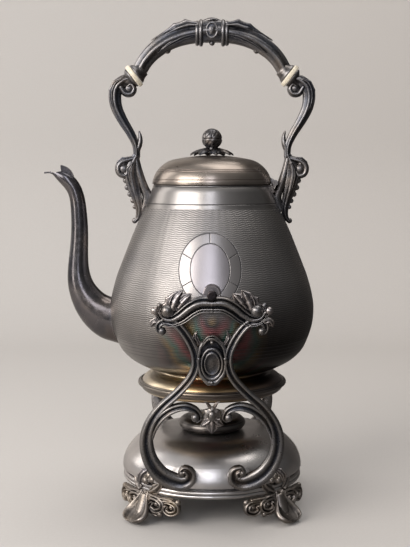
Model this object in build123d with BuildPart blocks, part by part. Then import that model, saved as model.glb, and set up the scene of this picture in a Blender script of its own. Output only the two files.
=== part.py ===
from build123d import *
import os
from math import atan2, cos, degrees, radians, sin, sqrt, tan

os.makedirs("parts", exist_ok=True)

# Frame: +X points away from the spout, +Y to the rear lyre frame, +Z up.
# The origin is the centre of the base, on the surface the feet stand on.

# Fits and clearances
seat_gap = 0.1
pivot_gap = 0.05
swing_gap = 0.85
bezel_gap = 0.9

# Kettle body, measured from the tilt axis
pivot_height = 190.0
body_radius = 87.3
belly_drop = 22.3
mouth_radius = 50.1
mouth_rise = 84.3
shoulder_radius = 56.8
shoulder_drop = 19.7
flank_radius = 77.3
flank_rise = 18.0
bowl_radius = 77.4
bowl_drop = 56.7
bottom_radius = 46.0
bottom_drop = 74.5
body_wall = 1.3
bottom_wall = 3.2

# Kettle foot
foot_neck_radius = 45.5
foot_rim_radius = 64.1
foot_height = 18.2
foot_wall = 1.5

# Trunnions
trunnion_radius = 3.0
trunnion_boss_radius = 6.0
trunnion_head_radius = 3.9
trunnion_head_length = 2.2

# Spout
spout_wall = 1.3
spout_hole_radius = 11.0
spout_hole_drop = 33.0

# Lid
lid_rise = 24.6
lid_wall = 1.2
bezel_depth = 6.0
hinge_pin_radius = 1.1
hinge_knuckle_radius = 2.4
hinge_length = 22.0
hinge_standoff = 3.2
finial_radius = 8.9
finial_height = 38.7
rosette_radius = 18.9

# Handle
arm_leaf = 3.2
insulator_radius = 10.5
insulator_thickness = 3.9
insulator_tilt = 37.6
insulator_reach = 66.6
insulator_rise = 176.6
insulator_pin_radius = 1.5
grip_rise = 214.5
grip_radius = 9.8
grip_wall = 1.3
grip_band = 1.1

# Base
base_top_height = 62.0
base_top_radius = 43.0
base_radius = 77.0
base_belly_height = 32.7
rim_height = 6.4
rim_bottom_height = 23.7
base_wall = 1.5

# Feet
foot_reach = 85.8
foot_pad_radius = 7.2
foot_lobes = 5
foot_lobe_length = 13.5
foot_lobe_radius = 3.7
foot_wing_angle = 13.0
foot_wing_depth = 3.6

# Lyre frames
lyre_foot_inset = 0.86
lyre_thickness = 4.0
lyre_rib = 1.2
lyre_groove = 0.9
lyre_half_width = 53.3
strut_widths = (3.4, 5.6, 6.6, 6.8, 6.8, 6.8, 6.8, 7.0, 7.4, 7.6, 8.0, 9.2, 8.6, 4.2)
crest_widths = (7.4, 7.8, 8.2, 7.8, 6.2, 3.8)
scroll_widths = (4.4, 6.8, 7.0, 6.2, 3.4)
cartouche_half_width = 12.1
cartouche_half_height = 20.1
stud_radius = 1.8
stud_spread = 21.5
stud_drop = 19.0

# Lamp
lamp_radius = 29.0
lamp_height = 13.0
lamp_wall = 1.0
burner_radius = 8.0
wick_tube_radius = 5.0
wick_tube_top = 15.8
wick_radius = 3.6

# Places that follow from the driving sizes
belly_z = pivot_height - belly_drop
mouth_z = pivot_height + mouth_rise
shoulder_z = mouth_z - shoulder_drop
flank_z = pivot_height + flank_rise
bowl_z = pivot_height - bowl_drop
bottom_z = pivot_height - bottom_drop
foot_top_z = bottom_z - seat_gap
foot_bottom_z = foot_top_z - foot_height
stud_x = stud_spread
stud_z = base_top_height - stud_drop


def finish(piece, name):
    """Label one piece and write its STEP file."""
    piece.label = name
    export_step(piece, "parts/" + name + ".step")


def turned(section):
    """Solid of revolution about +Z of a section drawn in the XZ plane."""
    with BuildPart() as solid:
        add(section)
        revolve(axis=Axis.Z)
    return solid.part


def kettle_section(grow):
    """Half section of the kettle's outer skin, moved outwards by grow."""
    mouth = (mouth_radius + grow, mouth_z + max(grow, 0))
    shoulder = (shoulder_radius + grow, shoulder_z)
    waist = ((shoulder_radius + flank_radius) / 2 - 0.6 + grow, (shoulder_z + flank_z) / 2 + 4.0)
    flank = (flank_radius + grow, flank_z)
    belly = (body_radius + grow, belly_z)
    bowl = (bowl_radius + grow / sqrt(2), bowl_z - grow / sqrt(2))
    heel = ((bowl_radius + bottom_radius) / 2 + 3.0, (bowl_z + bottom_z) / 2 - 1.6 - grow)
    bottom = (bottom_radius, bottom_z - grow)
    with BuildSketch(Plane.XZ) as section:
        with BuildLine():
            Polyline((0, bottom[1]), (0, mouth[1]), mouth, shoulder)
            ThreePointArc(shoulder, waist, flank)
            TangentArc(belly, flank, tangent=(0, 1))
            TangentArc(belly, bowl, tangent=(0, -1))
            ThreePointArc(bowl, heel, bottom)
            Line(bottom, (0, bottom[1]))
        make_face()
    return section.sketch


kettle_skin = turned(kettle_section(0))
kettle_clearance = turned(kettle_section(seat_gap))


def skin_radius(height):
    """Radius of the kettle's flank at a height between the belly and the flank line."""
    rise = flank_z - belly_z
    inset = body_radius - flank_radius
    arc_radius = (rise ** 2 + inset ** 2) / (2 * inset)
    return body_radius - arc_radius + sqrt(arc_radius ** 2 - (height - belly_z) ** 2)


def band_on_skin(inner_grow, outer_grow, low, high, half_width, side):
    """Curved plate that lies on the shoulder, between two heights, on the side given by +1 or -1."""
    with BuildSketch(Plane.XZ) as section:
        add(kettle_section(outer_grow))
        add(kettle_section(inner_grow), mode=Mode.SUBTRACT)
        with Locations((body_radius, (low + high) / 2)):
            Rectangle(2 * body_radius, high - low, mode=Mode.INTERSECT)
    half_turn = degrees(half_width / mouth_radius)
    band = revolve(section.sketch, axis=Axis.Z, revolution_arc=2 * half_turn, mode=Mode.PRIVATE)
    return Rot(0, 0, (0 if side > 0 else 180) - half_turn) * band


# ---------------------------------------------------------------- kettle body

with BuildPart() as kettle_body:
    add(kettle_skin)
    add(turned(kettle_section(-body_wall)), mode=Mode.SUBTRACT)
    with BuildSketch(Plane.XY.offset(mouth_z - 2 * body_wall)):
        Circle(mouth_radius - body_wall)
    extrude(amount=3 * body_wall, mode=Mode.SUBTRACT)
    with BuildSketch(Plane.XY.offset(bottom_z)):
        Circle(bottom_radius)
    extrude(amount=bottom_wall)
    with BuildSketch(Plane.YZ.offset(-body_radius)):
        with Locations((0, pivot_height - spout_hole_drop)):
            Circle(spout_hole_radius)
    extrude(amount=body_radius / 2, mode=Mode.SUBTRACT)
finish(kettle_body.part, "kettle_body")

# ---------------------------------------------------------------- kettle foot

foot_dish_z = foot_bottom_z + 9.8
with BuildPart() as kettle_foot:
    with BuildSketch(Plane.XZ):
        with BuildLine():
            neck = (foot_neck_radius, foot_top_z)
            dish = (foot_rim_radius - 6.6, foot_dish_z)
            ThreePointArc(neck, (foot_neck_radius + 3.4, foot_dish_z + 3.2), dish)
            crown = (foot_rim_radius - 3.4, foot_bottom_z + 10.9)
            Line(dish, crown)
            edge = (foot_rim_radius, foot_bottom_z + 5.8)
            ThreePointArc(crown, (foot_rim_radius - 0.9, foot_bottom_z + 9.0), edge)
            sole = (foot_rim_radius - 8.1, foot_bottom_z)
            ThreePointArc(edge, (foot_rim_radius - 3.2, foot_bottom_z + 2.3), sole)
            lip = (foot_rim_radius - 9.2, foot_bottom_z + 2.4)
            Line(sole, lip)
            ceiling = (foot_rim_radius - 8.4, foot_dish_z - foot_wall)
            Line(lip, ceiling)
            throat = (foot_neck_radius - foot_wall, foot_top_z - 3.0)
            arch = (foot_neck_radius + 1.4, foot_dish_z + 1.7)
            ThreePointArc(ceiling, arch, throat)
            Polyline(throat, (foot_neck_radius - foot_wall, foot_top_z), neck)
        make_face()
    revolve(axis=Axis.Z)
finish(kettle_foot.part, "kettle_foot")

# ---------------------------------------------------------------- spout

# Centre line of the spout, from inside the body to the lip: out from the body's widest circle,
# and height above the tilt axis.
spout_line = [(-9.3, -33.5), (5.7, -29.0), (13.9, -22.8), (20.5, -14.5), (25.2, -5.0), (27.6, 6.0),
              (27.7, 22.0), (26.7, 43.5), (27.6, 64.0), (31.3, 80.0), (40.3, 90.0), (56.7, 94.0)]
# Half heights of the spout at even steps along its centre line.
spout_girths = (20.5, 18.7, 16.7, 14.5, 12.5, 10.8, 9.4, 8.4, 7.8, 7.4, 7.1, 6.8, 6.5, 6.3, 6.0, 3.1, 0.8)
throat_step = 14
bore_lead = 8.0
gape_line = [(31.3, 81.0), (36.1, 87.8), (41.1, 91.6), (46.1, 94.4), (51.1, 98.4)]
gape_girths = (4.2, 4.4, 4.0, 2.8, 2.4)


def spout_place(out, rise):
    """Place in the kettle's middle plane, out from the body on the spout's side."""
    return Vector(-(body_radius + out), 0, pivot_height + rise)


def smooth_line(points):
    """Smooth line through points given as for the spout."""
    return Edge.make_spline([spout_place(out, rise) for out, rise in points])


def curved_tube(line, girths, lead=0.0):
    """Solid lofted through flattened ellipses at even steps along a line in the XZ plane.

    The first ellipse is moved back along the line by lead.
    """
    with BuildPart() as tube:
        for step, half_height in enumerate(girths):
            share = step / (len(girths) - 1)
            along = line % share
            place = Plane(origin=line @ share, x_dir=along.cross(Vector(0, 1, 0)), z_dir=along)
            with BuildSketch(place if step else place.offset(-lead)):
                Ellipse(half_height, (0.97 - 0.008 * half_height) * half_height)
        loft()
    return tube.part


spout_path = smooth_line(spout_line)
bore_path = spout_path.trim(0, throat_step / (len(spout_girths) - 1))
bore_girths = [half_height - spout_wall for half_height in spout_girths[:throat_step + 1]]

with BuildPart() as spout:
    add(curved_tube(spout_path, spout_girths))
    with BuildSketch(Plane.XZ) as upper_jaw:
        with BuildLine():
            crest = (-body_radius - 31.3, pivot_height + 90.0)
            jaw_tip = (-body_radius - 42.3, pivot_height + 100.6)
            ThreePointArc(crest, (-body_radius - 34.2, pivot_height + 96.2), jaw_tip)
            corner = (-body_radius - 39.7, pivot_height + 92.5)
            ThreePointArc(jaw_tip, (-body_radius - 41.9, pivot_height + 96.0), corner)
            Line(corner, crest)
        make_face()
    extrude(amount=2.6, both=True)
    add(curved_tube(bore_path, bore_girths, bore_lead), mode=Mode.SUBTRACT)
    add(curved_tube(smooth_line(gape_line), gape_girths), mode=Mode.SUBTRACT)
    add(kettle_clearance, mode=Mode.SUBTRACT)
finish(spout.part, "spout")

# ---------------------------------------------------------------- lyre frames, plane and reach

# Each frame leans out from the base's side, at its studs, to clear the kettle's belly.
stud_reach = base_radius - lyre_foot_inset
lean = atan2(body_radius + swing_gap - stud_reach, belly_z - stud_z)
lyre_foot_reach = stud_reach - tan(lean) * stud_z


def lyre_reach(height):
    """Distance of a frame's inner face from the kettle's axis plane at a height."""
    return lyre_foot_reach + tan(lean) * height


# ---------------------------------------------------------------- trunnions

trunnion_shoulder = lyre_reach(pivot_height) - swing_gap - 0.6
trunnion_end = lyre_reach(pivot_height) + lyre_thickness + lyre_rib + 1.4


def side_plane(side, reach):
    """Plane square to the tilt axis, facing away from the kettle."""
    return Plane(origin=(0, side * reach, pivot_height), x_dir=(1, 0, 0), z_dir=(0, side, 0))


def trunnion(side):
    """Stepped stud on the kettle's side: a boss that seats on the skin and a pin for the saddle."""
    root = skin_radius(pivot_height) - 3.0
    with BuildPart() as stud:
        with BuildSketch(side_plane(side, root)):
            Circle(trunnion_boss_radius + 1.5)
        extrude(amount=trunnion_shoulder - root, taper=9)
        with BuildSketch(side_plane(side, trunnion_shoulder)):
            Circle(trunnion_radius)
        extrude(amount=trunnion_end - trunnion_shoulder)
        add(kettle_clearance, mode=Mode.SUBTRACT)
    return stud.part


def trunnion_head(side):
    """Button that closes the end of a trunnion outside the frame."""
    with BuildPart() as head:
        with BuildSketch(side_plane(side, trunnion_end + seat_gap)):
            Circle(trunnion_head_radius)
        extrude(amount=trunnion_head_length)
        outer_edge = head.edges().sort_by(Axis.Y)[-1 if side > 0 else 0]
        fillet(outer_edge, 0.6 * trunnion_head_length)
    return head.part


finish(trunnion(-1), "trunnion_front")
finish(trunnion(1), "trunnion_rear")
finish(Compound(children=[trunnion_head(-1), trunnion_head(1)]), "trunnion_heads")

# ---------------------------------------------------------------- handle

insulator_lean = radians(insulator_tilt)
ring_z = pivot_height + insulator_rise
grip_z = pivot_height + grip_rise


def ring_plane(side, along):
    """Plane square to the insulator's axis, a distance along it towards the grip."""
    across = -side * cos(insulator_lean)
    return Plane(origin=(side * insulator_reach + along * across, 0, ring_z + along * sin(insulator_lean)),
                 x_dir=(0, 1, 0), z_dir=(across, 0, sin(insulator_lean)))


def branch(points, girths, side):
    """Tapering bar of the arm; x is mirrored by side, z is taken from the mouth."""
    line = Edge.make_spline([Vector(side * x, 0, mouth_z + z) for x, z in points])
    return curved_tube(line, girths)


# Centre lines of the arm's parts, x and height above the mouth, with half widths at even steps.
leg_line = ((69.5, 90.2), (77.5, 86.5), (83.0, 78.5), (82.8, 69.5), (79.0, 61.0), (73.2, 49.8),
            (67.2, 38.8), (64.4, 30.0), (64.8, 21.0))
leg_girths = (4.0, 4.8, 5.2, 5.0, 4.8, 4.6, 4.4, 4.1, 3.8, 3.5, 3.3, 3.3, 3.4)
outer_branch_line = ((64.6, 26.0), (69.0, 15.0), (70.6, 6.0), (68.0, -6.0), (64.4, -16.0), (63.0, -24.0),
                     (65.2, -31.0))
outer_branch_girths = (3.0, 4.2, 4.8, 5.0, 4.6, 4.0, 3.4, 2.8, 2.2)
inner_branch_line = ((65.0, 22.0), (63.8, 13.0), (61.8, 4.0), (59.0, -4.0), (55.0, -12.0))
inner_branch_girths = (2.8, 2.8, 3.0, 3.3, 3.4, 2.8)
shoulder_curl = ((69.0, 17.0), (73.0, 21.4), (78.2, 20.4), (80.8, 15.6), (78.0, 11.4))
shoulder_curl_girths = (2.4, 2.8, 2.8, 2.6, 2.4, 2.0, 1.6)
ring_curl = ((76.6, 82.0), (73.0, 77.6), (69.2, 78.2), (67.6, 81.6))
ring_curl_girths = (3.0, 2.8, 2.6, 2.4, 2.0)
thorn_line = ((66.6, 36.0), (65.2, 43.0), (62.6, 48.0), (62.6, 53.4))
thorn_girths = (2.8, 2.6, 2.0, 1.3, 0.6)
arm_parts = ((leg_line, leg_girths), (outer_branch_line, outer_branch_girths),
             (inner_branch_line, inner_branch_girths), (shoulder_curl, shoulder_curl_girths),
             (ring_curl, ring_curl_girths), (thorn_line, thorn_girths))


def handle_arm(side):
    """Cast scroll arm: an S leg from the insulator to two branches that stand on the kettle."""
    with BuildPart() as arm:
        for points, girths in arm_parts:
            add(branch(points, girths, side))
        with BuildSketch(ring_plane(side, -insulator_thickness / 2 - seat_gap)):
            Circle(0.72 * insulator_radius)
        extrude(amount=-2.4, taper=25)
        for x, z, radius in ((75.8, 15.8, 3.8), (71.0, 81.0, 3.4)):
            with Locations((side * x, 0, mouth_z + z)):
                Sphere(radius)
        with BuildSketch(Plane.XZ):
            with BuildLine():
                stalk = (side * 80.0, mouth_z + 83.0)
                leaf_end = (side * 84.0, mouth_z + 68.0)
                ThreePointArc(stalk, (side * 87.4, mouth_z + 78.5), leaf_end)
                Line(leaf_end, stalk)
            make_face()
        extrude(amount=arm_leaf / 2, both=True)
        with BuildSketch(ring_plane(side, -insulator_thickness / 2 - seat_gap)):
            Circle(2 * insulator_radius)
        extrude(amount=insulator_thickness, mode=Mode.SUBTRACT)
        add(kettle_clearance, mode=Mode.SUBTRACT)
        add(band_on_skin(seat_gap, 1.8, mouth_z - 17.5, mouth_z - 8.0, 6.0, side))
        add(band_on_skin(seat_gap, 1.8, mouth_z - 34.0, mouth_z - 23.0, 4.5, side))
    return arm.part


def insulator(side):
    """Bone ring between the arm and the grip, bored for its pin."""
    with BuildPart() as ring:
        with BuildSketch(ring_plane(side, -insulator_thickness / 2)):
            Circle(insulator_radius)
            Circle(insulator_pin_radius + pivot_gap, mode=Mode.SUBTRACT)
        extrude(amount=insulator_thickness)
        fillet(ring.edges().filter_by(GeomType.CIRCLE).sort_by(SortBy.RADIUS)[-2:], 0.3 * insulator_thickness)
    return ring.part


for side, hand in ((-1, "left"), (1, "right")):
    finish(handle_arm(side), "handle_arm_" + hand)
    finish(insulator(side), "insulator_" + hand)

with BuildPart() as insulator_pins:
    for side in (-1, 1):
        with BuildSketch(ring_plane(side, -insulator_thickness / 2)):
            Circle(insulator_pin_radius)
        extrude(amount=insulator_thickness)
finish(insulator_pins.part, "insulator_pins")

# Centre line and radius of the grip's right half, heights taken from its middle.
grip_half = [
    (60.6, -30.6, 6.0),
    (55.4, -22.6, 6.3),
    (47.0, -14.6, 7.4),
    (34.0, -7.2, 7.5),
    (20.0, -2.4, 8.7),
]
grip_stations = [(-x, rise, radius) for x, rise, radius in grip_half]
grip_stations += [(0.0, 0.0, grip_radius)]
grip_stations += reversed(grip_half)


def grip_core(stations):
    """Bar lofted through round sections that stand square to their line of centres."""
    with BuildPart() as core:
        for index, (x, rise, radius) in enumerate(stations):
            before = stations[max(index - 1, 0)]
            after = stations[min(index + 1, len(stations) - 1)]
            along = Vector(after[0] - before[0], 0, after[1] - before[1])
            with BuildSketch(Plane(origin=(x, 0, grip_z + rise), x_dir=along.cross(Vector(0, 1, 0)),
                                   z_dir=along)):
                Ellipse(radius, 0.94 * radius)
        loft()
    return core.part


ring_face = ring_plane(1, insulator_thickness / 2 + seat_gap).origin
end_station = (ring_face.X, ring_face.Z - grip_z, 0.62 * insulator_radius)
end_left = (-end_station[0], end_station[1], end_station[2])
bore_of_grip = [(x, rise, radius - grip_wall) for x, rise, radius in grip_stations]
with BuildPart() as handle_grip:
    add(grip_core([end_left] + grip_stations + [end_station]))
    with BuildSketch(Plane.XZ):
        with BuildLine():
            Polyline((-9.6, grip_z), (-9.6, grip_z + grip_radius + grip_band),
                     (-7.2, grip_z + grip_radius + grip_band), (-7.2, grip_z + grip_radius))
            ThreePointArc((-7.2, grip_z + grip_radius), (0, grip_z + grip_radius + 2 * grip_band),
                          (7.2, grip_z + grip_radius))
            Polyline((7.2, grip_z + grip_radius), (7.2, grip_z + grip_radius + grip_band),
                     (9.6, grip_z + grip_radius + grip_band), (9.6, grip_z), (-9.6, grip_z))
        make_face()
    revolve(axis=Axis((0, 0, grip_z), (1, 0, 0)))
    add(grip_core(bore_of_grip), mode=Mode.SUBTRACT)
    for side in (-1, 1):
        with BuildSketch(ring_plane(side, insulator_thickness / 2 + seat_gap)):
            Circle(2 * insulator_radius)
        extrude(amount=-insulator_thickness, mode=Mode.SUBTRACT)
for hand, keep in (("front", Keep.BOTTOM), ("rear", Keep.TOP)):
    finish(split(handle_grip.part, bisect_by=Plane.XZ.reverse(), keep=keep), "grip_" + hand)

# ---------------------------------------------------------------- lid

hinge_x = mouth_radius + hinge_standoff + 0.4
hinge_z = mouth_z + 1.2
lid_edge_radius = mouth_radius + 1.0
lid_bottom_z = mouth_z + seat_gap
lid_top_z = mouth_z + lid_rise
finial_hole_radius = 1.8
finial_z = mouth_z + finial_height


def lid_section(inset):
    """Half section under the lid's dome, moved inwards by inset."""
    with BuildSketch(Plane.XZ) as section:
        with BuildLine():
            edge = (lid_edge_radius - inset, lid_bottom_z + 1.8)
            haunch = (0.6 * lid_edge_radius, lid_top_z - 3.1 - inset)
            crown = (0, lid_top_z - inset)
            swell = (0.91 * lid_edge_radius - inset, lid_bottom_z + 12.1)
            Polyline((0, lid_bottom_z - 1.0), (lid_edge_radius - inset, lid_bottom_z - 1.0), edge)
            ThreePointArc(edge, swell, haunch)
            ThreePointArc(haunch, (0.3 * lid_edge_radius, lid_top_z - 0.8 - inset), crown)
            Line(crown, (0, lid_bottom_z - 1.0))
        make_face()
    return section.sketch


with BuildPart() as lid_dome:
    add(turned(lid_section(0)))
    add(turned(lid_section(lid_wall)), mode=Mode.SUBTRACT)
    with BuildSketch(Plane.XY.offset(lid_bottom_z)):
        Circle(2 * lid_edge_radius)
    extrude(amount=-5.0, mode=Mode.SUBTRACT)
    with BuildSketch(Plane.XY.offset(lid_bottom_z)):
        Circle(finial_hole_radius + seat_gap)
    extrude(amount=2 * lid_rise, mode=Mode.SUBTRACT)
finish(lid_dome.part, "lid_dome")

bezel_radius = mouth_radius - body_wall - bezel_gap
with BuildPart() as lid_bezel:
    with BuildSketch(Plane.XZ):
        with BuildLine():
            flange = lid_edge_radius - lid_wall - seat_gap
            Polyline((bezel_radius - 1.0, mouth_z - bezel_depth), (bezel_radius - 0.5, mouth_z - bezel_depth),
                     (bezel_radius, mouth_z - bezel_depth + 2.0), (bezel_radius, lid_bottom_z),
                     (flange, lid_bottom_z), (flange, lid_bottom_z + 1.0),
                     (bezel_radius - 1.0, lid_bottom_z + 1.0), close=True)
        make_face()
    revolve(axis=Axis.Z)
finish(lid_bezel.part, "lid_bezel")

with BuildPart() as finial_rosette:
    with BuildSketch(Plane.XZ):
        with BuildLine():
            Polyline((finial_hole_radius + seat_gap, lid_top_z + seat_gap), (3.0, lid_top_z + seat_gap))
            ThreePointArc((3.0, lid_top_z + seat_gap), (11.0, lid_top_z + 1.2), (rosette_radius, lid_top_z - 1.2))
            ThreePointArc((rosette_radius, lid_top_z - 1.2), (11.0, lid_top_z + 3.0), (4.0, lid_top_z + 5.0))
            Polyline((4.0, lid_top_z + 5.0), (finial_hole_radius + seat_gap, lid_top_z + 5.0),
                     (finial_hole_radius + seat_gap, lid_top_z + seat_gap))
        make_face()
    revolve(axis=Axis.Z)
    with BuildSketch(Plane.XY.offset(lid_top_z - 5.0)):
        with PolarLocations(rosette_radius + 0.8, 8, start_angle=22.5):
            Circle(4.2)
    extrude(amount=12.0, mode=Mode.SUBTRACT)
finish(finial_rosette.part, "finial_rosette")

with BuildPart() as finial_bud:
    with BuildSketch(Plane.XZ):
        with BuildLine():
            stem_radius = 3.6
            stem_bottom = lid_top_z + 5.0 + seat_gap
            dip = sqrt(finial_radius ** 2 - stem_radius ** 2)
            Polyline((0, finial_z + finial_radius), (0, lid_top_z - 6.0), (finial_hole_radius, lid_top_z - 6.0),
                     (finial_hole_radius, stem_bottom), (stem_radius + 1.2, stem_bottom),
                     (stem_radius + 1.2, stem_bottom + 0.8), (stem_radius, finial_z - dip))
            ThreePointArc((stem_radius, finial_z - dip), (finial_radius, finial_z), (0, finial_z + finial_radius))
        make_face()
    revolve(axis=Axis.Z)
finish(finial_bud.part, "finial_bud")

nut_height = 2.6
with BuildPart() as finial_nut:
    with BuildSketch(Plane.XY.offset(lid_top_z - lid_wall - seat_gap - nut_height)):
        RegularPolygon(4.2, 6)
        Circle(finial_hole_radius + pivot_gap, mode=Mode.SUBTRACT)
    extrude(amount=nut_height)
finish(finial_nut.part, "finial_nut")

# ---------------------------------------------------------------- lid hinge

knuckle_gap = 0.3
centre_knuckle = hinge_length / 3
hinge_plane = Plane(origin=(hinge_x, 0, hinge_z), x_dir=(1, 0, 0), z_dir=(0, -1, 0))


def knuckle(start, end):
    """Barrel of the lid hinge between two places along its pin."""
    with BuildPart() as barrel:
        with BuildSketch(hinge_plane.offset(start)):
            Circle(hinge_knuckle_radius)
            Circle(hinge_pin_radius + pivot_gap, mode=Mode.SUBTRACT)
        extrude(amount=end - start)
    return barrel.part


with BuildPart() as lid_hinge_plate:
    add(band_on_skin(seat_gap, 1.5, mouth_z - 7.0, mouth_z - 0.4, hinge_length / 2, 1))
    for start in (-hinge_length / 2, centre_knuckle / 2 + knuckle_gap):
        end = start + hinge_length / 2 - centre_knuckle / 2 - knuckle_gap
        with BuildSketch(Plane.XZ.offset(start)):
            with BuildLine():
                Polyline((mouth_radius + 1.2, mouth_z - 3.4), (mouth_radius + 2.6, mouth_z - 3.4),
                         (hinge_x + 1.4, hinge_z - 1.0), (hinge_x - 1.6, hinge_z - 1.4), close=True)
            make_face()
        extrude(amount=end - start)
        add(knuckle(start, end))
    with BuildSketch(hinge_plane.offset(-hinge_length)):
        Circle(hinge_pin_radius + pivot_gap)
    extrude(amount=2 * hinge_length, mode=Mode.SUBTRACT)
    with BuildSketch(hinge_plane.offset(-centre_knuckle / 2 - knuckle_gap)):
        Circle(hinge_knuckle_radius + knuckle_gap)
    extrude(amount=centre_knuckle + 2 * knuckle_gap, mode=Mode.SUBTRACT)
finish(lid_hinge_plate.part, "lid_hinge_plate")

with BuildPart() as lid_hinge_pin:
    with BuildSketch(hinge_plane.offset(-hinge_length / 2)):
        Circle(hinge_pin_radius)
    extrude(amount=hinge_length)
finish(lid_hinge_pin.part, "lid_hinge_pin")

with BuildPart() as lid_hinge_leaf:
    with BuildSketch(Plane.XZ.offset(-centre_knuckle / 2)):
        with BuildLine():
            Polyline((mouth_radius - 2.0, hinge_z - 0.2), (hinge_x, hinge_z - 0.9),
                     (hinge_x, hinge_z + hinge_knuckle_radius), (mouth_radius - 1.0, hinge_z + 5.0), close=True)
        make_face()
    extrude(amount=centre_knuckle)
    add(knuckle(-centre_knuckle / 2, centre_knuckle / 2))
    with BuildSketch(hinge_plane.offset(-hinge_length)):
        Circle(hinge_pin_radius + pivot_gap)
    extrude(amount=2 * hinge_length, mode=Mode.SUBTRACT)
    add(turned(lid_section(-seat_gap)), mode=Mode.SUBTRACT)
finish(lid_hinge_leaf.part, "lid_hinge_leaf")

# ---------------------------------------------------------------- base

dome_lip_z = rim_bottom_height + 0.8
dome_shoulder = (base_radius - 4.8, base_top_height - 14.7)


def dome_section(grow):
    """Half section of the base's outer skin, moved outwards by grow."""
    top = (base_top_radius, base_top_height + grow)
    shoulder = (dome_shoulder[0] + 0.9 * grow, dome_shoulder[1] + 0.4 * grow)
    belly = (base_radius + grow, base_belly_height)
    hem = (base_radius - 3.9 + grow, rim_bottom_height + rim_height)
    with BuildSketch(Plane.XZ) as section:
        with BuildLine():
            Polyline((0, dome_lip_z), (0, top[1]), top)
            TangentArc(top, shoulder, tangent=(1, 0))
            TangentArc(belly, shoulder, tangent=(0, 1))
            Polyline(belly, hem, (hem[0], dome_lip_z), (0, dome_lip_z))
        make_face()
    return section.sketch


base_clearance = turned(dome_section(seat_gap))


def lyre_plane(side, out):
    """Plane of a leaning frame, out from its inner face; its sketch reads x across and y up."""
    face = Plane(origin=(0, side * lyre_foot_reach, 0), x_dir=(-side, 0, 0),
                 z_dir=(0, side * cos(lean), -sin(lean)))
    return face.offset(out)


def stud_plane(side, x, out):
    """Plane square to a frame stud, out from the frame's inner face."""
    up = stud_z / cos(lean)
    face = lyre_plane(side, out)
    return Plane(origin=face.from_local_coords((x, up, 0)), x_dir=face.x_dir, z_dir=face.z_dir)


with BuildPart() as base_dome:
    add(turned(dome_section(0)))
    add(turned(dome_section(-base_wall)), mode=Mode.SUBTRACT)
    for side in (-1, 1):
        for x in (-stud_x, stud_x):
            with BuildSketch(stud_plane(side, x, 0)):
                Circle(stud_radius + seat_gap)
            extrude(amount=-20.0, mode=Mode.SUBTRACT)
finish(base_dome.part, "base_dome")

rim_inner = base_radius - 3.9 + seat_gap
rim_top = rim_bottom_height + rim_height - seat_gap


def rim_section(grow):
    """Half section of the moulded rim, moved outwards by grow."""
    low = rim_bottom_height - grow
    high = rim_top + grow
    middle = (low + high) / 2
    with BuildSketch(Plane.XZ) as section:
        with BuildLine():
            Polyline((rim_inner, high), (rim_inner, low), (rim_inner + 1.6 + grow, low))
            ThreePointArc((rim_inner + 1.6 + grow, low), (rim_inner + 3.4 + grow, (low + middle) / 2),
                          (rim_inner + 2.4 + grow, middle))
            ThreePointArc((rim_inner + 2.4 + grow, middle), (rim_inner + 3.1 + grow, (high + middle) / 2),
                          (rim_inner + 1.4 + grow, high))
            Line((rim_inner + 1.4 + grow, high), (rim_inner, high))
        make_face()
    return section.sketch


base_rim = turned(rim_section(0))
finish(base_rim, "base_rim")

# ---------------------------------------------------------------- feet

foot_heel = (foot_reach - 5.8, 4.2)
foot_wing_radius = base_radius - 1.6
foot_wing_top = rim_bottom_height - seat_gap
# Centre line and half widths of the foot's leg, from under the rim to the pad: x and height.
leg_out = base_radius + 2.4
foot_leg_line = ((leg_out, 29.0), (leg_out + 1.4, 22.0), (leg_out + 2.2, 15.0), (foot_reach - 2.0, 9.0),
                 (foot_reach + 1.6, 4.6))
foot_leg_girths = ((2.0, 5.0), (2.4, 5.6), (2.5, 5.8), (2.4, 5.2), (2.5, 5.4), (2.8, 6.6), (2.2, 6.4))
# Scrolls of the openwork wing beside the leg: width, then places along the rim and down from it.
wing_scrolls = (
    (3.4, ((-15.5, 2.4), (-8.0, 1.7), (0.0, 1.7), (10.5, 2.4))),
    (3.2, ((-12.5, 11.3), (-7.5, 13.7), (-2.8, 10.9), (-3.9, 6.1), (-8.5, 5.9))),
    (3.2, ((-4.0, 3.0), (0.8, 4.9), (5.2, 8.7), (3.4, 12.9), (-0.6, 11.9))),
    (2.8, ((3.0, 1.8), (8.2, 3.1), (11.4, 6.3), (9.6, 9.3), (6.8, 8.5))),
    (3.4, ((-14.0, 3.0), (-14.6, 9.0), (-12.0, 13.5), (-13.6, 17.0))),
)
wing_knobs = ((-7.0, 9.8, 2.4), (2.0, 9.2, 2.4), (8.2, 6.4, 2.0))


def foot_lobe(angle):
    """Rounded flute of the shell pad, turned about the heel by an angle."""
    tip = foot_lobe_length * (1 - 0.0028 * abs(angle))
    with BuildPart() as lobe:
        with BuildSketch(Plane.XZ):
            with BuildLine():
                heel = (-0.5 * foot_lobe_radius, 0.4 * foot_lobe_radius)
                Spline(heel, (0.6 * tip, foot_lobe_radius), (tip, 0), tangents=((1.0, 0.6), (0.0, -1.0)))
                Polyline((tip, 0), (heel[0], 0), heel)
            make_face()
        revolve(axis=Axis.X)
    return Pos(foot_heel[0], 0, foot_heel[1]) * Rot(0, 4, angle) * lobe.part


def foot_leg():
    """Leg that comes down from the rim and curls out onto the pad."""
    line = Edge.make_spline([Vector(x, 0, z) for x, z in foot_leg_line])
    with BuildPart() as leg:
        for step, (half_thickness, half_width) in enumerate(foot_leg_girths):
            share = step / (len(foot_leg_girths) - 1)
            with BuildSketch(Plane(origin=line @ share, x_dir=(0, 1, 0), z_dir=line % share)):
                Ellipse(half_width, half_thickness)
        loft()
    return leg.part


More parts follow.
